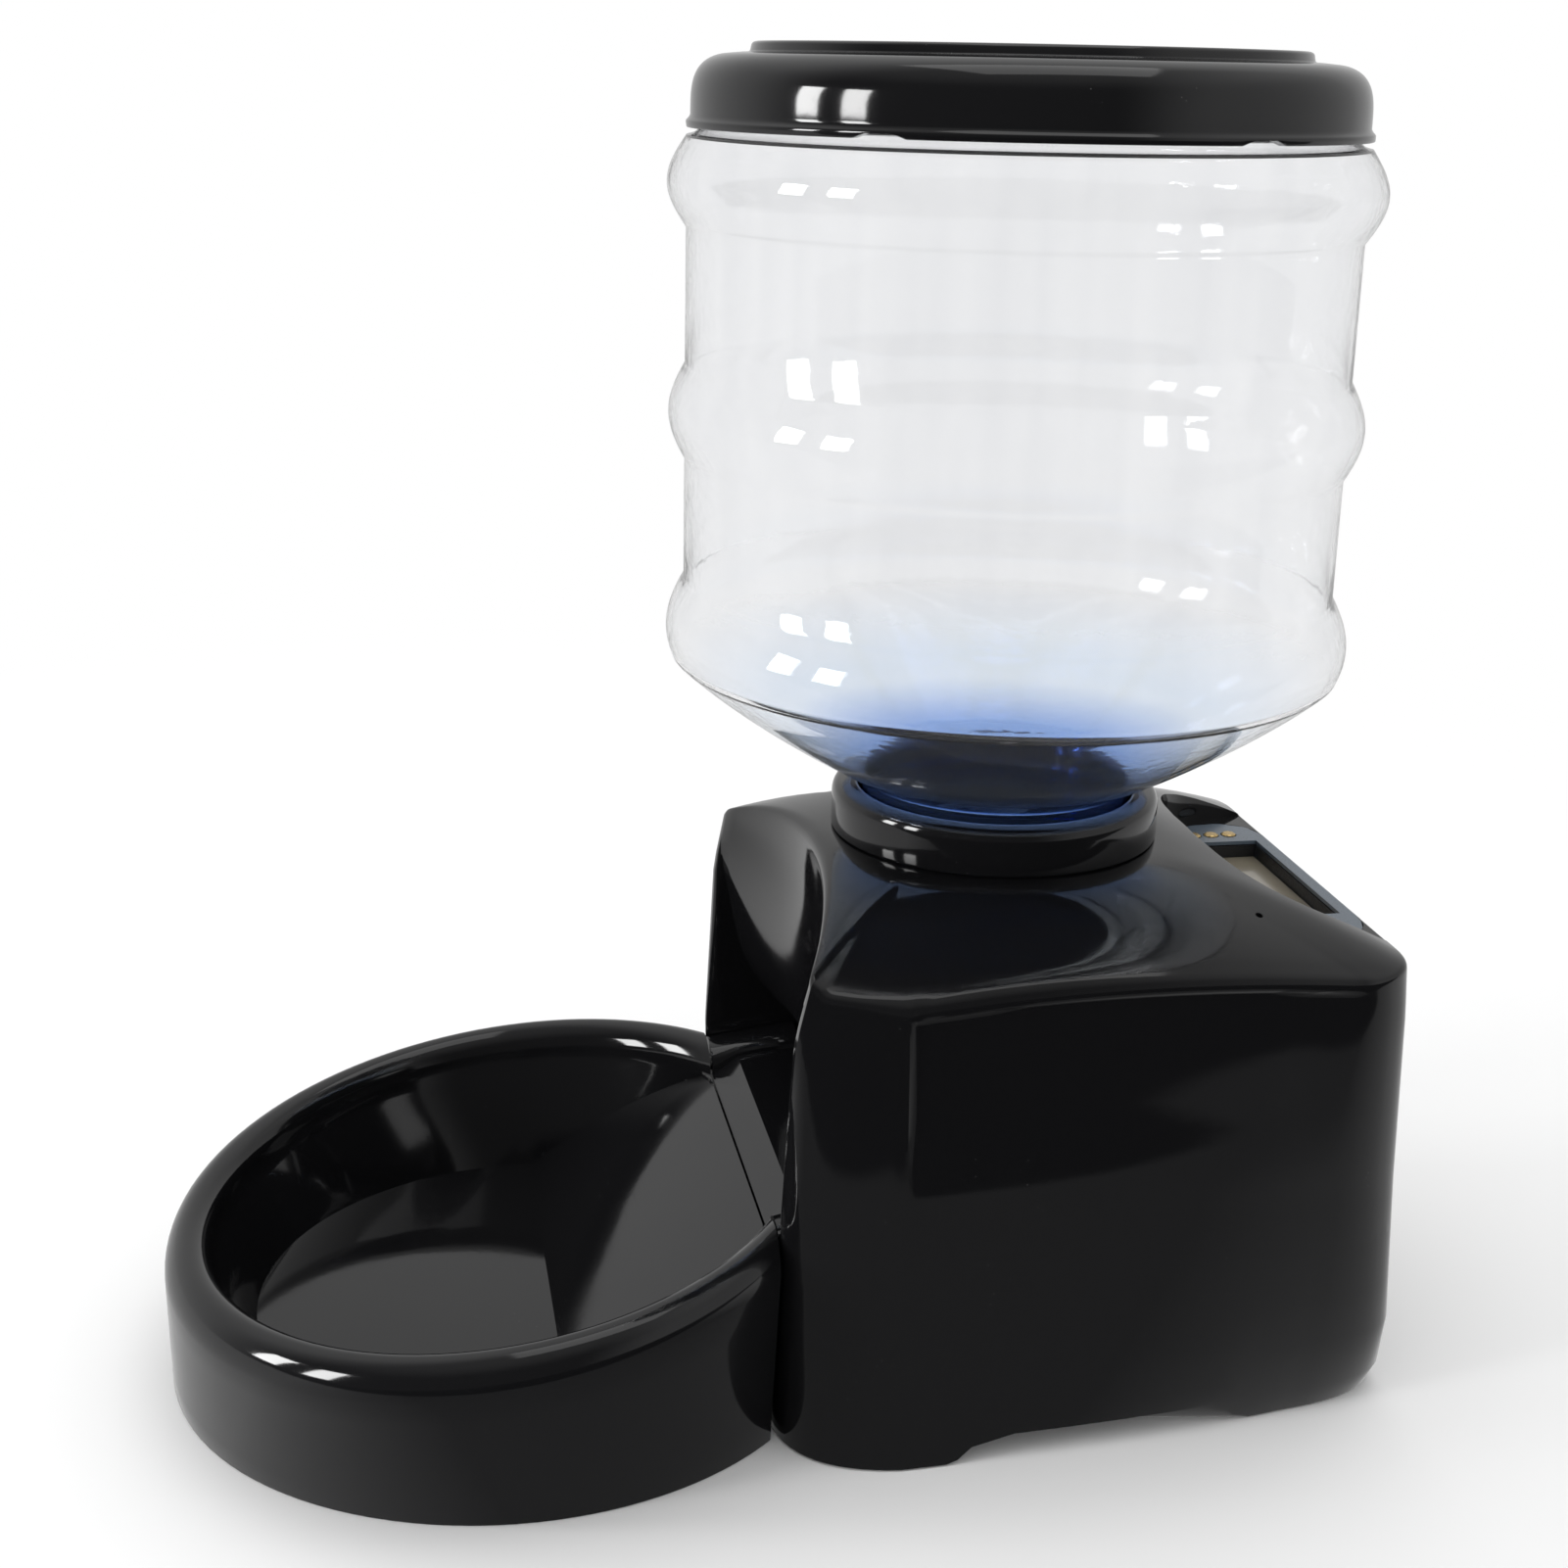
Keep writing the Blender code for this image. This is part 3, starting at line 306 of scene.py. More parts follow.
class Paint:
    """A Principled material and short ways to add nodes to it."""

    def __init__(self, name, colour, rough, metal=0.0):
        self.made = bpy.data.materials.new(name)
        self.made.use_nodes = True
        self.tree = self.made.node_tree
        self.shader = self.tree.nodes["Principled BSDF"]
        self.shader.inputs["Base Color"].default_value = (*colour, 1)
        self.shader.inputs["Roughness"].default_value = rough
        self.shader.inputs["Metallic"].default_value = metal
        self.made.diffuse_color = (*colour, 1)
        self.coords = self.node("ShaderNodeTexCoord").outputs["Object"]

    def node(self, kind, **values):
        made = self.tree.nodes.new(kind)
        for key, value in values.items():
            setattr(made, key, value)
        return made

    def link(self, source, target):
        self.tree.links.new(source, target)

    def stretch(self, scale):
        """Object coordinates, scaled."""
        node = self.node("ShaderNodeMapping")
        node.inputs["Scale"].default_value = scale
        self.link(self.coords, node.inputs["Vector"])
        return node.outputs["Vector"]

    def noise(self, scale, detail=2.0, vector=None, rough=0.5):
        node = self.node("ShaderNodeTexNoise")
        node.inputs["Scale"].default_value = scale
        node.inputs["Detail"].default_value = detail
        node.inputs["Roughness"].default_value = rough
        self.link(vector or self.coords, node.inputs["Vector"])
        return node.outputs["Fac"]

    def cells(self, scale, vector=None):
        """Distance to the nearest of scattered points."""
        node = self.node("ShaderNodeTexVoronoi")
        node.inputs["Scale"].default_value = scale
        self.link(vector or self.coords, node.inputs["Vector"])
        return node.outputs["Distance"]

    def ranged(self, socket, from_low, from_high, low, high):
        node = self.node("ShaderNodeMapRange")
        for key, value in zip((1, 2, 3, 4), (from_low, from_high, low, high)):
            node.inputs[key].default_value = value
        self.link(socket, node.inputs[0])
        return node.outputs[0]

    def math(self, how, a, b):
        node = self.node("ShaderNodeMath", operation=how)
        for socket, value in zip(node.inputs, (a, b)):
            if isinstance(value, (int, float)):
                socket.default_value = value
            else:
                self.link(value, socket)
        return node.outputs[0]

    def blend(self, fac, low, high):
        """Colour mixed by a factor."""
        node = self.node("ShaderNodeMix", data_type="RGBA")
        self.link(fac, node.inputs["Factor"])
        for key, value in ((6, low), (7, high)):
            if isinstance(value, tuple):
                node.inputs[key].default_value = (*value, 1)
            else:
                self.link(value, node.inputs[key])
        return node.outputs[2]

    def colour(self, socket):
        self.link(socket, self.shader.inputs["Base Color"])

    def rough(self, socket):
        self.link(socket, self.shader.inputs["Roughness"])

    def bump(self, *layers):
        """Stack bumps: (height socket, distance in metres)."""
        last = None
        for height, distance in layers:
            node = self.node("ShaderNodeBump")
            node.inputs["Distance"].default_value = distance
            node.inputs["Strength"].default_value = 1.0
            self.link(height, node.inputs["Height"])
            if last:
                self.link(last, node.inputs["Normal"])
            last = node.outputs["Normal"]
        self.link(last, self.shader.inputs["Normal"])


def gloss_black():
    """Polished black ABS: faint sink waves, orange peel, fine scratches and a little dust."""
    p = Paint("gloss_black", (0.0045, 0.0045, 0.005), 0.07)
    p.shader.inputs["IOR"].default_value = 1.52
    dust = p.ranged(p.cells(420.0), 0.035, 0.06, 1.0, 0.0)
    sparse = p.ranged(p.noise(38.0, 1.0), 0.60, 0.70, 0.0, 1.0)
    speck = p.math("MULTIPLY", dust, sparse)
    scratches = p.ranged(p.noise(90.0, 4.0, p.stretch((1.0, 9.0, 14.0)), 0.7), 0.62, 0.78, 0.0, 0.10)
    smear = p.ranged(p.noise(17.0, 4.0), 0.35, 0.75, 0.05, 0.11)
    p.rough(p.math("ADD", p.math("ADD", smear, scratches), p.math("MULTIPLY", speck, 0.35)))
    p.colour(p.blend(speck, (0.0045, 0.0045, 0.005), (0.10, 0.10, 0.10)))
    p.bump((p.noise(26.0, 1.0), 0.00011), (p.noise(420.0, 1.0), 0.0000035))
    return p.made


def clear_pet():
    """Blown PET: clear barrel with flow lines, blue and mirror-like towards the thick shoulder."""
    p = Paint("clear_pet", (0.93, 0.935, 0.945), 0.02)
    p.shader.inputs["IOR"].default_value = 1.40
    p.shader.inputs["Transmission Weight"].default_value = 0.985
    split = p.node("ShaderNodeSeparateXYZ")
    p.link(p.coords, split.inputs[0])
    height = split.outputs[2]
    streaks = p.noise(60.0, 3.0, p.stretch((1.0, 1.0, 0.05)))
    icy = p.ranged(height, 0.220, 0.200, 0.0, 1.0)
    cobalt = p.ranged(height, 0.196, 0.184, 0.0, 1.0)
    flow = p.blend(p.ranged(streaks, 0.35, 0.65, 0.0, 1.0), (0.908, 0.912, 0.922), (0.940, 0.943, 0.950))
    upper = p.blend(icy, flow, (0.770, 0.845, 0.945))
    p.colour(p.blend(cobalt, upper, (0.25, 0.40, 0.78)))
    thick = p.ranged(height, 0.213, 0.205, 0.0, 1.0)
    p.link(p.blend(thick, (1.0, 1.0, 1.0), (0.10, 0.30, 1.0)), p.shader.inputs["Specular Tint"])
    p.link(p.ranged(thick, 0.0, 1.0, 0.5, 1.0), p.shader.inputs["Specular IOR Level"])
    p.link(p.ranged(height, 0.208, 0.196, 0.985, 0.97), p.shader.inputs["Transmission Weight"])
    p.rough(p.ranged(p.noise(150.0, 3.0), 0.3, 0.8, 0.012, 0.05))
    mottle = p.noise(170.0, 2.0, p.stretch((1.0, 1.0, 1.6)))
    patches = p.ranged(p.noise(9.0, 1.0), 0.35, 0.65, 0.15, 1.0)
    p.bump((streaks, 0.00003), (p.math("MULTIPLY", mottle, patches), 0.00004))
    return p.made


def satin_black():
    """Inner mouldings: dark plastic with a spark-eroded grain."""
    p = Paint("satin_black", (0.02, 0.02, 0.021), 0.42)
    grain = p.noise(1400.0, 2.0)
    p.rough(p.ranged(grain, 0.3, 0.7, 0.36, 0.55))
    p.colour(p.blend(p.noise(60.0, 3.0), (0.016, 0.016, 0.017), (0.028, 0.028, 0.030)))
    p.bump((grain, 0.00003))
    return p.made


def fascia_film():
    """Printed polyester overlay: blue-grey with a fine satin texture."""
    p = Paint("fascia_film", (0.10, 0.13, 0.165), 0.32)
    p.shader.inputs["Coat Weight"].default_value = 0.35
    p.shader.inputs["Coat Roughness"].default_value = 0.18
    weave = p.noise(2600.0, 1.0)
    p.colour(p.blend(p.noise(45.0, 2.0), (0.090, 0.118, 0.150), (0.112, 0.145, 0.182)))
    p.rough(p.ranged(weave, 0.3, 0.7, 0.26, 0.40))
    p.bump((weave, 0.00001))
    return p.made


def lcd():
    """A switched-off liquid-crystal screen: warm grey with faint cells under a clear front."""
    p = Paint("lcd", (0.30, 0.27, 0.20), 0.22)
    p.shader.inputs["Coat Weight"].default_value = 0.8
    p.shader.inputs["Coat Roughness"].default_value = 0.04
    wave = p.node("ShaderNodeTexWave")
    wave.inputs["Scale"].default_value = 260.0
    p.link(p.coords, wave.inputs["Vector"])
    base = p.blend(p.noise(30.0, 2.0), (0.27, 0.235, 0.17), (0.34, 0.30, 0.225))
    p.colour(p.blend(p.ranged(wave.outputs["Fac"], 0.0, 1.0, 0.0, 0.12), base, (0.16, 0.15, 0.11)))
    p.bump((p.noise(900.0, 1.0), 0.000004))
    return p.made


def gold_key():
    """Gold-plated key tops, lightly turned."""
    p = Paint("gold_key", (0.62, 0.43, 0.17), 0.28, 0.85)
    fine = p.noise(900.0, 2.0)
    p.colour(p.blend(p.noise(300.0, 2.0), (0.52, 0.36, 0.15), (0.72, 0.53, 0.24)))
    p.rough(p.ranged(fine, 0.3, 0.7, 0.20, 0.36))
    p.bump((fine, 0.00001))
    return p.made


def circuit_board():
    """Green solder mask with copper tracks and gold pads."""
    p = Paint("circuit_board", (0.01, 0.10, 0.04), 0.35)
    brick = p.node("ShaderNodeTexBrick")
    brick.inputs["Scale"].default_value = 240.0
    brick.inputs["Color1"].default_value = (0.008, 0.085, 0.032, 1)
    brick.inputs["Color2"].default_value = (0.012, 0.120, 0.045, 1)
    brick.inputs["Mortar"].default_value = (0.03, 0.20, 0.08, 1)
    p.link(p.coords, brick.inputs["Vector"])
    pads = p.ranged(p.cells(330.0), 0.16, 0.20, 1.0, 0.0)
    p.colour(p.blend(pads, brick.outputs["Color"], (0.60, 0.45, 0.15)))
    p.link(p.ranged(pads, 0.0, 1.0, 0.0, 0.9), p.shader.inputs["Metallic"])
    p.bump((brick.outputs["Fac"], 0.00003))
    return p.made


def white_nylon():
    """Moulded nylon gears and wheel."""
    p = Paint("white_nylon", (0.78, 0.76, 0.71), 0.45)
    p.shader.inputs["Subsurface Weight"].default_value = 0.08
    p.shader.inputs["Subsurface Radius"].default_value = (0.002, 0.0016, 0.0012)
    fine = p.noise(700.0, 3.0)
    p.colour(p.blend(p.noise(50.0, 3.0), (0.72, 0.70, 0.64), (0.82, 0.80, 0.76)))
    p.rough(p.ranged(fine, 0.3, 0.7, 0.38, 0.52))
    p.bump((fine, 0.00002))
    return p.made


def steel():
    """Brushed and plated steel."""
    p = Paint("steel", (0.56, 0.56, 0.57), 0.28, 1.0)
    brushed = p.noise(500.0, 3.0, p.stretch((0.12, 1.0, 1.0)))
    p.colour(p.blend(brushed, (0.46, 0.46, 0.47), (0.66, 0.66, 0.67)))
    p.rough(p.ranged(brushed, 0.3, 0.7, 0.20, 0.38))
    p.bump((brushed, 0.00001))
    return p.made


def rubber():
    """Matt black rubber."""
    p = Paint("rubber", (0.02, 0.02, 0.02), 0.8)
    grain = p.noise(1100.0, 3.0)
    p.colour(p.blend(p.noise(120.0, 3.0), (0.016, 0.016, 0.016), (0.035, 0.034, 0.033)))
    p.rough(p.ranged(grain, 0.3, 0.7, 0.72, 0.9))
    p.bump((grain, 0.00004))
    return p.made


def silicone():
    """Milky sealing ring."""
    p = Paint("silicone", (0.70, 0.71, 0.73), 0.5)
    p.shader.inputs["Transmission Weight"].default_value = 0.25
    p.colour(p.blend(p.noise(80.0, 2.0), (0.64, 0.66, 0.68), (0.76, 0.77, 0.78)))
    p.bump((p.noise(900.0, 2.0), 0.00001))
    return p.made


def cell_wrap():
    """Printed sleeve of a cell, a dark body with a warm band."""
    p = Paint("cell_wrap", (0.05, 0.06, 0.12), 0.3)
    split = p.node("ShaderNodeSeparateXYZ")
    p.link(p.coords, split.inputs[0])
    band = p.ranged(split.outputs[1], 0.1560, 0.1564, 0.0, 1.0)
    p.colour(p.blend(band, (0.035, 0.045, 0.09), (0.42, 0.24, 0.09)))
    p.rough(p.ranged(p.noise(600.0, 2.0), 0.3, 0.7, 0.22, 0.38))
    p.bump((p.noise(40.0, 3.0), 0.00008))
    return p.made


MAKERS = (gloss_black, clear_pet, satin_black, fascia_film, lcd, gold_key, circuit_board, white_nylon,
          steel, rubber, silicone, cell_wrap)
PAINTS = {maker.__name__: maker() for maker in MAKERS}
BLACK = PAINTS["gloss_black"]


# Hopper ---------------------------------------------------------------------------------------------

def bulge(centre, half, rise, steps, low_end=1.0):
    """A cosine swelling of the barrel, from the top down. low_end below 1 cuts its lower half short."""
    out = []
    for k in range(steps + 1):
        u = 1 - (1 + low_end) * k / steps
        out.append((BARREL_R + rise * math.cos(math.pi / 2 * u), centre + half * u))
    return out


def bottle_outline():
    """The bottle's outer side, from the mouth down to the neck's end."""
    points = [(0.0903, RIM_TOP), (0.0911, RIM_TOP - 0.0003), (0.0915, RIM_TOP - 0.0010)]
    points += [(0.0915, 0.3712)]
    points += curve(((0.0915, 0.3706), (0.0915, 0.3686), (0.0951, 0.3680)), 5)
    points += bulge(*BULGES[0], 20)[1:]
    points += [(BARREL_R, z) for z in (0.3350, 0.3200)]
    points += bulge(*BULGES[1], 20)
    points += [(BARREL_R, z) for z in (0.2680, 0.2550)]
    points += bulge(*LOW_BULGE, 18, 0.55)
    points += curve(SHOULDER, 22, 1)
    points += curve(((0.0408, 0.1814), (NECK_R, 0.1806), (NECK_R, 0.1790)), 3)
    for k in range(3):
        bead_z = 0.1745 - 0.0040 * k
        points += [(NECK_R, bead_z + 0.0012), (NECK_R + NECK_BEAD, bead_z), (NECK_R, bead_z - 0.0012)]
    points += [(NECK_R, 0.1620), (NECK_R, NECK_BOTTOM)]
    return points


def inset_outline(points, wall):
    """The same line, moved inwards along its normals."""
    out = []
    for k, (r, z) in enumerate(points):
        a = points[max(k - 1, 0)]
        b = points[min(k + 1, len(points) - 1)]
        dr, dz = b[0] - a[0], b[1] - a[1]
        size = math.hypot(dr, dz)
        out.append((r + dz / size * wall, z - dr / size * wall))
    return out


def make_hopper():
    """Bottle, its collar on the base, and the lid."""
    outer = bottle_outline()
    bore = NECK_R - BOTTLE_WALL
    inner = [(0.0897, RIM_TOP)] + inset_outline(outer[4:-11], BOTTLE_WALL)
    inner += [(bore, 0.1780), (bore, NECK_BOTTOM)]
    bottle = revolve("hopper_shell", outer + inner[::-1], PAINTS["clear_pet"])
    hand_over(bottle, "bottle", "clear_pet", "hopper_bottle")

    profile = [(0.0486, TENT_Z + GAP)]
    profile += curve(((0.0492, 0.1662), (0.0494, 0.1664), (0.0495, 0.1669)), 4)
    profile += [(0.0495, 0.1754)]
    profile += curve(((0.0495, 0.1758), (0.0494, 0.1784), (0.0485, 0.1796), (0.0466, 0.1799)), 8)
    profile += curve(((0.0452, 0.1801), (0.0428, 0.1801), (0.0414, 0.1803), (0.0413, 0.1780)), 6)
    profile += [(0.0413, TENT_Z + GAP)]
    collar = revolve("neck_ring", profile, BLACK)
    hand_over(collar, "base", "gloss_black", "neck_collar")

    skirt = [(0.0921, 0.3702), (0.0924, 0.3700), (0.0947, 0.3700)]
    skirt += curve(((0.0950, 0.3700), (0.0953, 0.3701), (0.0953, 0.3705)), 3)
    skirt += [(0.0953, SKIRT_EDGE)]
    skirt += curve(((0.0953, 0.3717), (0.0951, 0.3722), (0.0944, 0.3724), (0.0941, 0.3734)), 5)
    skirt += curve(((0.0941, 0.3740), (0.0940, 0.3808), (0.0944, 0.3872), (0.0884, 0.3894),
                    (0.0842, 0.3898)), 16)
    skirt += [(0.0800, 0.3902)]
    skirt += curve(((0.0784, 0.3903), (0.0777, 0.3903), (0.0776, 0.3908)), 3)
    skirt += curve(((0.0773, 0.3922), (0.0770, 0.3930), (0.0758, 0.3931)), 4)
    skirt += [(r, 0.3932) for r in (0.0700, 0.0500, 0.0250, 0.0010)]
    under = [(0.0010, 0.3908), (0.0500, 0.3908), (0.0735, 0.3905), (0.0750, 0.3878), (0.0868, 0.3868),
             (0.0868, 0.3745), (0.0886, 0.3745), (0.0886, 0.3795), (0.0921, 0.3795)]

    def notches(angle, k):
        """Six shallow grip gaps in the lower edge of the skirt."""
        lowest = len(under) <= k < len(under) + EDGE_POINTS
        inside = abs((math.degrees(angle) + 8.0) % GRIP_STEP - GRIP_STEP / 2) < GRIP_HALF
        return max(0.0, SKIRT_EDGE - heights[k]) if lowest and inside else 0.0

    line = under + skirt
    heights = [z for _, z in line]
    lid = revolve("lid_shell", line, BLACK, closed=False, shift=notches)
    hand_over(lid, "lid", "gloss_black", "lid_cap")


# Base housing ------------------------------------------------------------------------------------

BOTTOM = 0.0006
FOOT_CUT_H = 0.0085
LOW_Z = 0.0575             # the wall's last ring under the alcove's floor
EDGE_Z = 0.1460            # height whose plan stands for the top edge
# Steps of the plan's stretches: alcove back, jamb side, jamb turn, each corner, rear wall
BACK_STEPS, JAMB_STEPS, TURN_STEPS, CORNER_STEPS, REAR_STEPS = 16, 5, 4, 14, 10
NOTCH_YS = (-0.0275, -0.0190, 0.0560, 0.0640)
THROAT_BACK = -0.0300
SIDE_YS = (-0.0438, -0.0424, -0.0408, -0.0390, -0.0350, -0.0310, -0.0275, -0.0232, -0.0190, -0.0100, 0.0,
           0.0100, 0.0200, 0.0300, 0.0400, 0.0500, 0.0560, 0.0600, 0.0640, 0.0700, 0.0750, 0.0785,
           0.0805, 0.0825)


def section(z):
    """Front corner handles, rear corner handles and side swell at a height."""
    below, above = SECTIONS[0], SECTIONS[1]
    for pair in zip(SECTIONS, SECTIONS[1:]):
        if z >= pair[0][0]:
            below, above = pair
    t = min(max((z - below[0]) / (above[0] - below[0]), 0.0), 1.15)
    return [mix(below[k], above[k], t) for k in (1, 2, 3)]


def outline(z):
    """Half of the plan at a height: one point a column, from the front middle to the rear middle."""
    front, rear, swell = section(z)
    y_front = front[0][1]
    above = z >= ALCOVE_FLOOR - 1e-6
    side_y, mid_y, half = between(ALCOVE, z)
    side_y = max(side_y, y_front + 0.0001) if above else y_front
    radius = min(JAMB_R, (side_y - y_front) * 0.8) if above else JAMB_R
    lean = 0.0012 * ease(0.128, 0.146, z)
    if not above:
        half = front[0][0] - 0.0030
        mid_y = y_front
    start = min(half + lean + radius, front[0][0] - 0.0004)
    points = []
    for k in range(BACK_STEPS + 1):
        u = k / BACK_STEPS
        points.append((half * u, mid_y + (side_y - mid_y) * u * u))
    stop = (half + lean, y_front + radius)
    for k in range(1, JAMB_STEPS + 1):
        points.append(mix((half, side_y), stop, k / JAMB_STEPS))
    points += curve((stop, (half + lean, y_front), (start, y_front)), TURN_STEPS, 1)
    fade = ease(0.1300, 0.1440, z)
    steps = JAMB_STEPS + TURN_STEPS
    for k in range(1, steps + 1):
        straight = mix((half, side_y), (start, y_front), k / steps)
        points[BACK_STEPS + k] = mix(points[BACK_STEPS + k], straight, fade)
    points.append(((start + front[0][0]) / 2, y_front))
    points += curve(front, CORNER_STEPS)
    head, tail = front[2], rear[0]
    for y in SIDE_YS:
        u = min(max((y - SIDE_START) / SIDE_LENGTH, 0.0), 1.0)
        x, y_here = mix(head, tail, u)
        points.append((x + swell * 4 * u * (1 - u), y_here))
    points += curve(rear, CORNER_STEPS)
    rear_x, rear_y = rear[2]
    points += [(rear_x * (1 - k / REAR_STEPS), rear_y) for k in range(1, REAR_STEPS + 1)]
    return points


def top_edge(x, y):
    """Height of the top edge: an arch over the alcove, an arch along each side, level at the rear."""
    if y < SIDE_START:
        front = FRONT_CROWN - FRONT_DROP * (min(abs(x), FRONT_HALF) / FRONT_HALF) ** FRONT_POWER
        if abs(x) < CORNER_X:
            return front
        corner = mix(*CORNER_TOPS, (y - CORNER_Y) / CORNER_RUN)
        return mix(front, corner, ease(-0.0720, -0.0665, y))
    arch = SIDE_CROWN - SIDE_DROP * ((y - SIDE_MIDDLE) / SIDE_HALF) ** 2
    return mix(arch, REAR_TOP, ease(0.0840, 0.1040, y))


# Heights of the wall's rings up to the crease, and shares of the way from there to the rounded edge
LEVELS = (0.0615, 0.0655, 0.0700, 0.0740, 0.0775, 0.0795, 0.0820, 0.0846, 0.0880, 0.0920, 0.0965, 0.1010,
          0.1060, 0.1110, 0.1160, 0.1220, 0.1280, CREASE_Z)
UPPER = (0.22, 0.42, 0.58, 0.70, 0.82, 0.92, 1.0)
SLOPE_SHARES = (0.88, 0.74, 0.60, 0.46, 0.33, 0.21, 0.11, 0.04, 0.0)


def bottom_edge(y):
    """Height of the skirt's lower edge, with the gap along each side."""
    y0, y1, y2, y3 = NOTCH_YS
    if y <= y0 or y >= y3:
        return BOTTOM
    if y < y1:
        return mix(BOTTOM, FOOT_CUT_H, (y - y0) / (y1 - y0))
    if y > y2:
        return mix(FOOT_CUT_H, BOTTOM, (y - y2) / (y3 - y2))
    return FOOT_CUT_H


def panel_dip(y, z, edge):
    """How far the side panel is set in at a place on the side wall."""
    between_ends = ease(SIDE_START, -0.0424, y) * ease(0.0900, 0.0720, y)
    under_arch = ease(edge - 0.0034, edge - 0.0050, z)
    return PANEL_DIP * between_ends * under_arch * ease(0.0820, 0.1100, z)


def wall_point(column, z, edge=None):
    """A point of the wall in a column, with the panel's dip."""
    x, y = outline(z)[column]
    if edge is not None and x > 0.070 and -0.050 < y < 0.092:
        x -= panel_dip(y, z, edge)
    return (x, y, z)


def round_over(column):
    """How far the rounding of the top edge reaches."""
    x, y = outline(EDGE_Z)[column]
    if y < -0.040:
        return mix(0.0034, mix(0.0022, 0.0040, ease(-0.0600, -0.0440, y)), ease(0.0600, 0.0720, x))
    return mix(0.0030, 0.0015, ease(0.0800, 0.1000, y))


def housing_rings():
    """Rings from the skirt's edge over the wall, the rounded top edge and the slopes to the collar."""
    columns = []
    for column in range(len(outline(EDGE_Z))):
        line = []
        flat_y = outline(0.020)[column][1]
        low = bottom_edge(flat_y)
        for z in (low, low + 0.0008, mix(low, LOW_Z, 0.15), mix(low, LOW_Z, 0.45), 0.0400, LOW_Z):
            line.append(wall_point(column, z))
        x, y = outline(ALCOVE_FLOOR - 0.0001)[column]
        line.append((x, y, ALCOVE_FLOOR))
        line.append(wall_point(column, ALCOVE_FLOOR))
        edge = top_edge(*outline(EDGE_Z)[column])
        for z in LEVELS:
            line.append(wall_point(column, z, edge))
        reach = round_over(column)
        for share in UPPER:
            line.append(wall_point(column, mix(CREASE_Z, edge - reach, share), edge))
        x, y, _ = wall_point(column, min(edge, 0.1480))
        angle = math.atan2(x, y)
        hub = (TENT_R * math.sin(angle), TENT_R * math.cos(angle))
        run = math.hypot(x - hub[0], y - hub[1])

        def slope(share):
            px, py = mix(hub, (x, y), share)
            return (px, py, edge + (TENT_Z - edge) * (1 - share ** 1.4))

        first = max(1 - min(reach, run * 0.45) / run, 0.3)
        line += curve((line[-1], (x, y, edge), slope(first)), 6, 1)
        for share in SLOPE_SHARES:
            line.append(slope(first * share))
        line.append((hub[0] * 0.95, hub[1] * 0.95, TENT_Z + 0.0001))
        columns.append(line)
    rings = []
    for k in range(len(columns[0])):
        half = [line[k] for line in columns]
        half[0] = (0.0, *half[0][1:])
        half[-1] = (0.0, *half[-1][1:])
        rings.append(mirror(half))
    return rings


def grown(shape, amount):
    """An outline moved outwards from its middle."""
    mx = sum(p[0] for p in shape) / len(shape)
    my = sum(p[1] for p in shape) / len(shape)
    wide = max(p[0] for p in shape) - min(p[0] for p in shape)
    deep = max(p[1] for p in shape) - min(p[1] for p in shape)
    sx, sy = 1 + 2 * amount / wide, 1 + 2 * amount / deep
    return [(mx + (x - mx) * sx, my + (y - my) * sy) for x, y in shape]


def rounded(shape, rounds=3, closed=True):
    """An outline with its corners cut round."""
    points = list(shape)
    for _ in range(rounds):
        out = []
        for k, here in enumerate(points):
            if not closed and k == len(points) - 1:
                break
            there = points[(k + 1) % len(points)]
            out += [mix(here, there, 0.25), mix(here, there, 0.75)]
        if not closed:
            out = [points[0]] + out + [points[-1]]
        points = out
    return points


def box_outline(x0, x1, y0, y1, radius):
    """A rectangle with rounded corners."""
    out = []
    steps = 4
    for cx, cy, start in ((x1 - radius, y1 - radius, 0), (x0 + radius, y1 - radius, 90),
                          (x0 + radius, y0 + radius, 180), (x1 - radius, y0 + radius, 270)):
        for k in range(steps + 1):
            angle = math.radians(start + 90 * k / steps)
            out.append((cx + radius * math.cos(angle), cy + radius * math.sin(angle)))
    return out


def panel_cuts():
    """Closed shapes that the openings of the top and of the throat are cut with."""
    half, front, rear = WINDOW
    side = rounded(RECESS, 2, closed=False)
    recess = side + [(-x, y) for x, y in side[::-1]]
    window = box_outline(-half - WINDOW_MARGIN, half + WINDOW_MARGIN, front - WINDOW_MARGIN,
                         rear + WINDOW_MARGIN, 0.0010)
    slot_x = (BUTTON_X - BUTTON_R - 0.0005, BUTTON_X + BUTTON_R + 0.0005)
    slot = box_outline(*slot_x, BUTTON_YS[-1] - 0.0029, BUTTON_YS[0] + 0.0029, 0.0028)
    mic = [(MIC[0] + MIC_R * math.cos(math.pi * k / 8), MIC[1] + MIC_R * math.sin(math.pi * k / 8))
           for k in range(16)]
    throat = box_outline(-0.0520, 0.0520, -0.0600, THROAT_BACK, 0.0010)
    return [
        prism("recess", recess, PANEL_Z, CUT_HIGH, BLACK),
        prism("pocket", grown(rounded(FASCIA), 0.0004), PANEL_Z - FASCIA_T - GAP, CUT_HIGH, BLACK),
        prism("window", window, CUT_LOW, 0.1500, BLACK),
        prism("key_slot", slot, CUT_LOW, 0.1500, BLACK),
        prism("mic_hole", mic, CUT_LOW, 0.1700, BLACK),
        prism("throat", throat, 0.0602, 0.0890, BLACK),
    ]


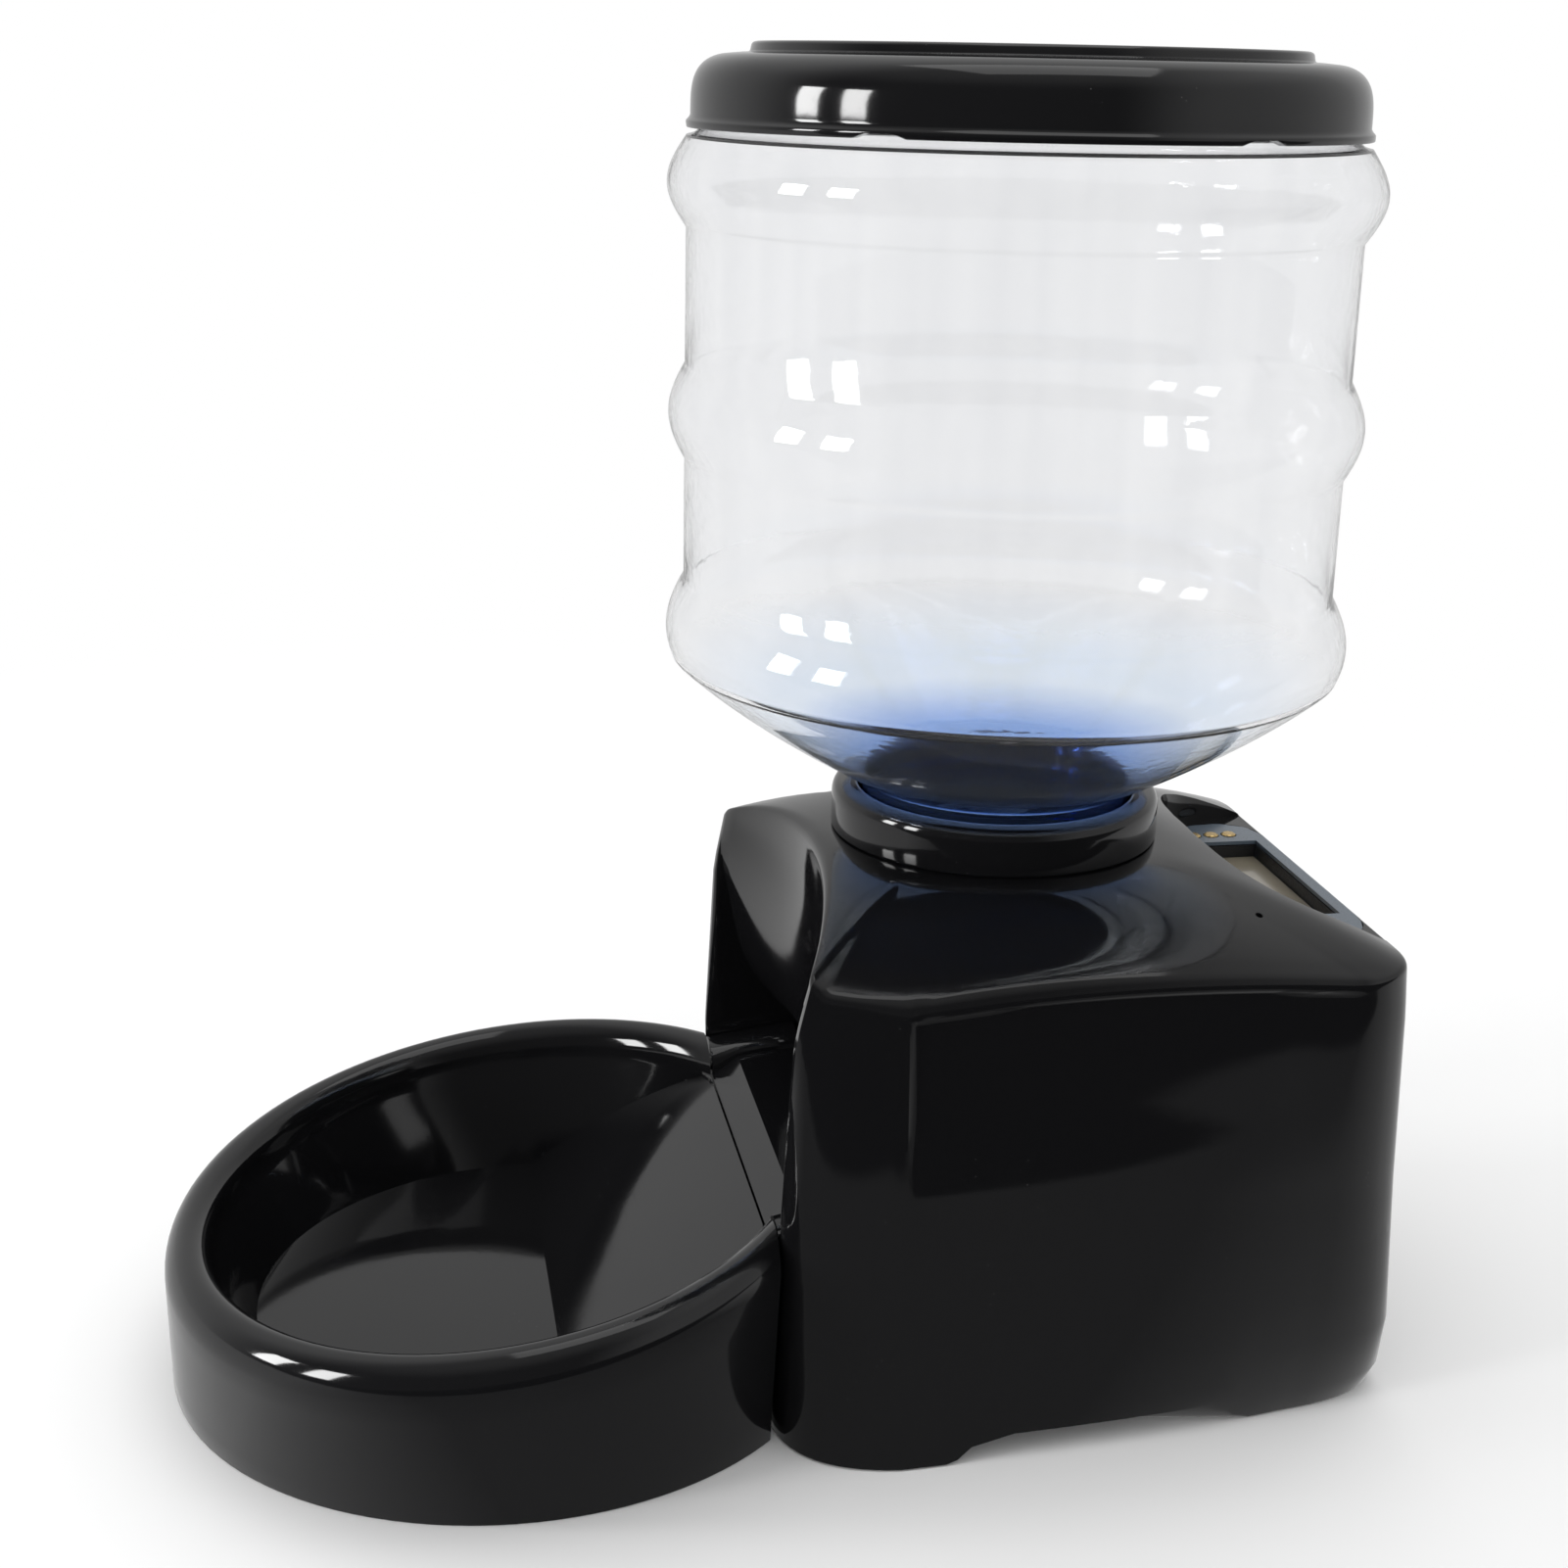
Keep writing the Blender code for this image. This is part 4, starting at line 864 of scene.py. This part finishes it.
def open_ends(piece):
    """Delete the faces that close the openings' ends, the hub under the collar and the underside."""
    shape = bmesh.new()
    shape.from_mesh(piece.data)
    ends = []
    for face in shape.faces:
        middle = face.calc_center_median()
        level = max(v.co.z for v in face.verts) - min(v.co.z for v in face.verts) < 1e-5
        flat = abs(face.normal.z) > 0.99
        hub = math.hypot(middle.x, middle.y - AXIS_Y) < 0.030 and middle.z > 0.16
        through = level and abs(middle.z - CUT_LOW) < 1e-5
        upright = abs(face.normal.y) > 0.99 and middle.z < 0.09
        throat_back = abs(middle.y - AXIS_Y - THROAT_BACK) < 1e-4 and upright
        under = face.normal.z < -0.5 and middle.z < 0.0100 and len(face.verts) > 8
        if (flat and hub) or through or throat_back or under:
            ends.append(face)
    bmesh.ops.delete(shape, geom=ends, context="FACES")
    shape.to_mesh(piece.data)
    shape.free()


def make_housing():
    """The glossy shell of the base."""
    housing = build("base_shell", *loft(housing_rings()), BLACK)
    cut(housing, panel_cuts())
    open_ends(housing)
    housing.data.shade_smooth()
    housing.data.set_sharp_from_angle(angle=math.radians(32))
    wall = housing.modifiers.new("wall", "SOLIDIFY")
    wall.thickness = SHELL
    wall.offset = -1
    wall.use_even_offset = False
    solid = apply_modifiers(housing)
    for vert in solid.vertices:
        vert.co.z = max(vert.co.z, BOTTOM)
    solid.update()
    hand_over(housing, "base", "gloss_black", "base_housing")


# Bowl and spout -------------------------------------------------------------------------------------

def rim_z(y):
    """Height of the rim's crown: it falls towards the front."""
    return RIM_Z + RIM_SLOPE * (y - BOWL_Y)


def tray_z(y):
    """Height of the inside: a level floor, then a straight ramp up to the spout."""
    slope = (SPOUT_Z - FLOOR_Z) / (PARTING_Y - CREASE_Y)
    return FLOOR_Z + max(0.0, y - CREASE_Y) * slope


def oval(ax, ay, yc, back, last_x=None):
    """Half of an oval on +X, from the front to the back plane, with a point on the crease."""
    crease = math.asin((CREASE_Y - yc) / ay)
    near = math.asin((back - 0.0023 - yc) / ay)
    angles = [mix(-math.pi / 2, crease, k / FLOOR_STEPS) for k in range(FLOOR_STEPS)]
    angles += [mix(crease, near, k / RAMP_STEPS) for k in range(RAMP_STEPS + 1)]
    half = [(ax * math.cos(a), yc + ay * math.sin(a)) for a in angles]
    end = math.asin((back - yc) / ay)
    half.append((last_x or ax * math.cos(end), back))
    half[0] = (0.0, half[0][1])
    return half


def make_bowl():
    """The bowl: outer wall, rounded rim, and an inside with a floor and a ramp."""
    back = PARTING_Y - 0.0002
    rows = []
    under = oval(FLOOR_X - 0.0010, FLOOR_YR - 0.0010, FLOOR_YC, back - SHELL)
    rows.append([(x, y, tray_z(y) - SHELL) for x, y in under])
    rows.append([(x, y, 0.0) for x, y in oval(FOOT_X - SHELL, FOOT_Y - SHELL, BOWL_Y, back - SHELL)])
    rows.append([(x, y, 0.0) for x, y in oval(FOOT_X - 0.0008, FOOT_Y - 0.0008, BOWL_Y, back)])
    rows.append([(x, y, 0.0002) for x, y in oval(FOOT_X - 0.0002, FOOT_Y - 0.0002, BOWL_Y, back)])
    rows.append([(x, y, 0.0008) for x, y in oval(FOOT_X, FOOT_Y, BOWL_Y, back)])
    for k in range(1, WALL_STEPS + 1):
        share = k / WALL_STEPS
        size = mix(FOOT_X, RIM_X, share * (1.06 - 0.06 * share)), mix(FOOT_Y, RIM_Y, share)
        line = oval(*size, BOWL_Y, back)
        rows.append([(x, y, mix(0.0008, rim_z(y) - CROWN_H, share)) for x, y in line])
    for k in range(1, CROWN_STEPS + 1):
        angle = math.pi * k / CROWN_STEPS
        shift = CROWN_W / 2 * (1 - math.cos(angle))
        drop = CROWN_H if k < CROWN_STEPS / 2 else LIP_DROP
        line = oval(RIM_X - shift, RIM_Y - shift, BOWL_Y, back)
        rows.append([(x, y, rim_z(y) - drop * (1 - math.sin(angle))) for x, y in line])
    lip = rows[-1]
    floor = [(x, y, tray_z(y)) for x, y in oval(FLOOR_X, FLOOR_YR, FLOOR_YC, back, SPOUT_HALF)]
    for k in range(1, WALL_STEPS + 1):
        rows.append([mix(a, b, k / WALL_STEPS) for a, b in zip(lip, floor)])

    # Each ring is open at the back. Two strips close the first three rings there, one face the rest.
    size = 2 * len(rows[0]) - 1
    rings = []
    for row in rows:
        rings.append([(-x, y, z) for x, y, z in row[:0:-1]] + row)
    verts = [p for ring in rings for p in ring]
    faces = []
    for k in range(len(rings) - 1):
        a, b = k * size, (k + 1) * size
        faces += [(a + i, a + i + 1, b + i + 1, b + i) for i in range(size - 1)]
        if k < 2:
            faces.append((a + size - 1, a, b, b + size - 1))
    last = (len(rings) - 1) * size
    back_face = [k * size + size - 1 for k in range(2, len(rings))]
    back_face += [k * size for k in range(len(rings) - 1, 1, -1)]
    faces.append(tuple(back_face))
    # The underside and the inside each get a floor and a ramp.
    left, right = size // 2 - FLOOR_STEPS, size // 2 + FLOOR_STEPS
    for start in (0, last):
        faces.append(tuple(range(start + left, start + right + 1)))
        faces.append(tuple(range(start + right, start + size)) + tuple(range(start, start + left + 1)))
    bowl = build("bowl_shell", verts, faces, BLACK, 28)
    hand_over(bowl, "feed_bowl", "gloss_black", "bowl")


def make_spout():
    """The fixed mouth behind the bowl. Its floor carries on the ramp and ends in a flatter shelf."""
    rows = []
    for y, half, floor in SPOUT_ROWS:
        top = rim_z(y)
        low = max(top - LIP_DROP, floor + 0.0002)
        lip = (SPOUT_LIP_X, low)
        inner = [(half, floor), mix((half, floor), lip, 0.5), lip]
        crown = curve((lip, (0.0562, mix(low, top, 0.90)), (0.0600, top + 0.0003), (0.0655, top + 0.0002),
                       (0.0700, top - 0.0002), (SPOUT_SIDE_X, top - 0.0024)), 14, 1)
        side = inner + crown + [(SPOUT_SIDE_X, SPOUT_BOTTOM)]
        loop = side + [(-x, z) for x, z in side[::-1]]
        rows.append([(x, y, z) for x, z in loop])
    spout = build("spout_shell", *loft(rows), BLACK, 14)
    hand_over(spout, "base", "gloss_black", "chute_spout")


# Stage: floor, light and camera ---------------------------------------------------------------------

def make_floor():
    """A pale floor that fades into white. Glossy surfaces see a painted reflection of it: a dim glow,
    darker towards +X and much darker past x = 0.29.
    """
    sides = 64
    circle = [(math.cos(2 * math.pi * i / sides), math.sin(2 * math.pi * i / sides)) for i in range(sides)]
    rings = [[(radius * x, radius * y, 0.0) for x, y in circle] for radius in (0.5, 1.0, 2.0, 4.0, 8.0)]
    verts, faces = loft(rings, caps=False)
    faces.append(tuple(range(sides)))
    white = Paint("pale_floor", (0.86, 0.86, 0.86), 0.9)
    white.colour(white.blend(white.noise(3.0, 3.0), (0.85, 0.85, 0.85), (0.88, 0.88, 0.88)))
    split = white.node("ShaderNodeSeparateXYZ")
    white.link(white.coords, split.inputs[0])
    away = white.node("ShaderNodeVectorMath", operation="LENGTH")
    white.link(white.coords, away.inputs[0])
    far = white.ranged(away.outputs["Value"], 0.20, 0.95, 0.0, 1.0)
    path = white.node("ShaderNodeLightPath")
    glow = white.node("ShaderNodeEmission")
    glow.inputs["Color"].default_value = (1, 1, 1, 1)
    fade = white.node("ShaderNodeMixShader")
    white.link(far, fade.inputs[0])
    white.link(white.shader.outputs[0], fade.inputs[1])
    white.link(glow.outputs[0], fade.inputs[2])
    # Painted reflection: glossy rays meet this glow instead of the lit floor, weaker towards +X.
    dim = white.node("ShaderNodeEmission")
    flat = white.stretch((1.0, 1.0, 0.0))
    reach = white.node("ShaderNodeVectorMath", operation="LENGTH")
    white.link(flat, reach.inputs[0])
    sector = white.math("DIVIDE", split.outputs[0], reach.outputs["Value"])
    shade = white.ranged(sector, 0.30, 0.75, 0.66, 0.17)
    # Painted dark reflection: the glow falls to a tenth past x = 0.29.
    painted_dark_reflection_beyond = white.ranged(split.outputs[0], 0.286, 0.300, 1.0, 0.10)
    white.link(white.math("MULTIPLY", shade, painted_dark_reflection_beyond), dim.inputs["Strength"])
    glossy = white.math("MULTIPLY", path.outputs["Is Glossy Ray"],
                        white.math("SUBTRACT", 1.0, path.outputs["Is Transmission Ray"]))
    pick = white.node("ShaderNodeMixShader")
    white.link(glossy, pick.inputs[0])
    white.link(fade.outputs[0], pick.inputs[1])
    white.link(dim.outputs[0], pick.inputs[2])
    white.link(pick.outputs[0], white.tree.nodes["Material Output"].inputs["Surface"])
    floor = build("studio_floor", [(x, y - AXIS_Y, z - 0.0001) for x, y, z in verts], faces, white.made)


def make_surround():
    """A white world, and the darker room that glossy surfaces mirror instead of it."""
    world = bpy.data.worlds.new("studio")
    bpy.context.scene.world = world
    world.use_nodes = True
    nodes, links = world.node_tree.nodes, world.node_tree.links
    out = nodes["World Output"]
    plain = nodes["Background"]
    plain.inputs["Color"].default_value = (1, 1, 1, 1)
    plain.inputs["Strength"].default_value = 1.0
    room = nodes.new("ShaderNodeBackground")
    coords = nodes.new("ShaderNodeTexCoord")
    parts = nodes.new("ShaderNodeSeparateXYZ")
    links.new(coords.outputs["Generated"], parts.inputs[0])

    def band(socket, a, b, low, high):
        node = nodes.new("ShaderNodeMapRange")
        node.interpolation_type = "SMOOTHSTEP"
        for key, value in zip((1, 2, 3, 4), (a, b, low, high)):
            node.inputs[key].default_value = value
        links.new(socket, node.inputs[0])
        return node.outputs[0]

    def join(how, a, b):
        node = nodes.new("ShaderNodeMath")
        node.operation = how
        for socket, value in zip(node.inputs, (a, b)):
            if isinstance(value, (int, float)):
                socket.default_value = value
            else:
                links.new(value, socket)
        return node.outputs[0]

    behind = band(parts.outputs[0], 0.10, -0.60, 0.0, 0.66)
    above = band(parts.outputs[2], 0.45, 0.95, 0.0, 0.32)
    rear = band(parts.outputs[1], 0.20, 0.75, 0.0, 0.60)
    total = join("ADD", join("MAXIMUM", behind, rear), above)
    links.new(join("ADD", total, ROOM_BASE), room.inputs["Strength"])
    light = nodes.new("ShaderNodeLightPath")
    chosen = nodes.new("ShaderNodeMixShader")
    direct = join("SUBTRACT", 1.0, light.outputs["Is Transmission Ray"])
    mirrored = join("MULTIPLY", light.outputs["Is Glossy Ray"], direct)
    links.new(mirrored, chosen.inputs[0])
    links.new(plain.outputs[0], chosen.inputs[1])
    links.new(room.outputs[0], chosen.inputs[2])
    links.new(chosen.outputs[0], out.inputs["Surface"])


def softbox(name, place, aim, size, power):
    """A rectangular area light that faces its aim."""
    lamp = bpy.data.lights.new(name, "AREA")
    lamp.shape = "RECTANGLE"
    lamp.size, lamp.size_y = size
    lamp.energy = power
    made = bpy.data.objects.new(name, lamp)
    made.location = place
    made.rotation_euler = (Vector(aim) - Vector(place)).to_track_quat("-Z", "Y").to_euler()
    bpy.context.scene.collection.objects.link(made)


def make_lights():
    """Two tall windows and a weak overhead light."""
    for name, turn_by in WINDOW_LIGHTS:
        angle = math.radians(WINDOW_MIDDLE + turn_by)
        spot = (WINDOW_AWAY * math.sin(angle), -WINDOW_AWAY * math.cos(angle), WINDOW_Z)
        softbox(name, spot, LIGHT_TARGET, WINDOW_SIZE, WINDOW_POWER)
    softbox("overhead", OVERHEAD_AT, OVERHEAD_TARGET, OVERHEAD_SIZE, OVERHEAD_POWER)


def make_camera():
    """The camera, turned by yaw, pitch and roll."""
    scene = bpy.context.scene
    yaw, pitch, roll = (math.radians(v) for v in CAMERA_TURN)
    back = Vector((math.sin(yaw) * math.cos(pitch), -math.cos(yaw) * math.cos(pitch), math.sin(pitch)))
    right = Vector((math.cos(yaw), math.sin(yaw), 0.0))
    up = back.cross(right)
    right_r = right * math.cos(roll) + up * math.sin(roll)
    up_r = up * math.cos(roll) - right * math.sin(roll)
    lens = bpy.data.cameras.new("photo_camera")
    lens.sensor_width = SENSOR
    lens.lens = FOCAL
    lens.clip_start = 0.01
    lens.clip_end = 50.0
    camera = bpy.data.objects.new("photo_camera", lens)
    turn = Matrix((right_r, up_r, back)).transposed()
    camera.matrix_world = Matrix.Translation(CAMERA_AT) @ turn.to_4x4()
    scene.collection.objects.link(camera)
    scene.camera = camera
    scene.view_settings.view_transform = "Standard"


# Everything -----------------------------------------------------------------------------------------

def dress_nodes():
    """Give every carried-over CAD node its material."""
    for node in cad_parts.values():
        for slot in node.material_slots:
            name = slot.material.name.split(".")[0]
            if name not in PAINTS:
                print("no paint for", node.name, name)
                continue
            slot.material = PAINTS[name]


make_floor()
make_surround()
make_lights()
make_camera()
dress_nodes()
make_hopper()
make_housing()
make_bowl()
make_spout()
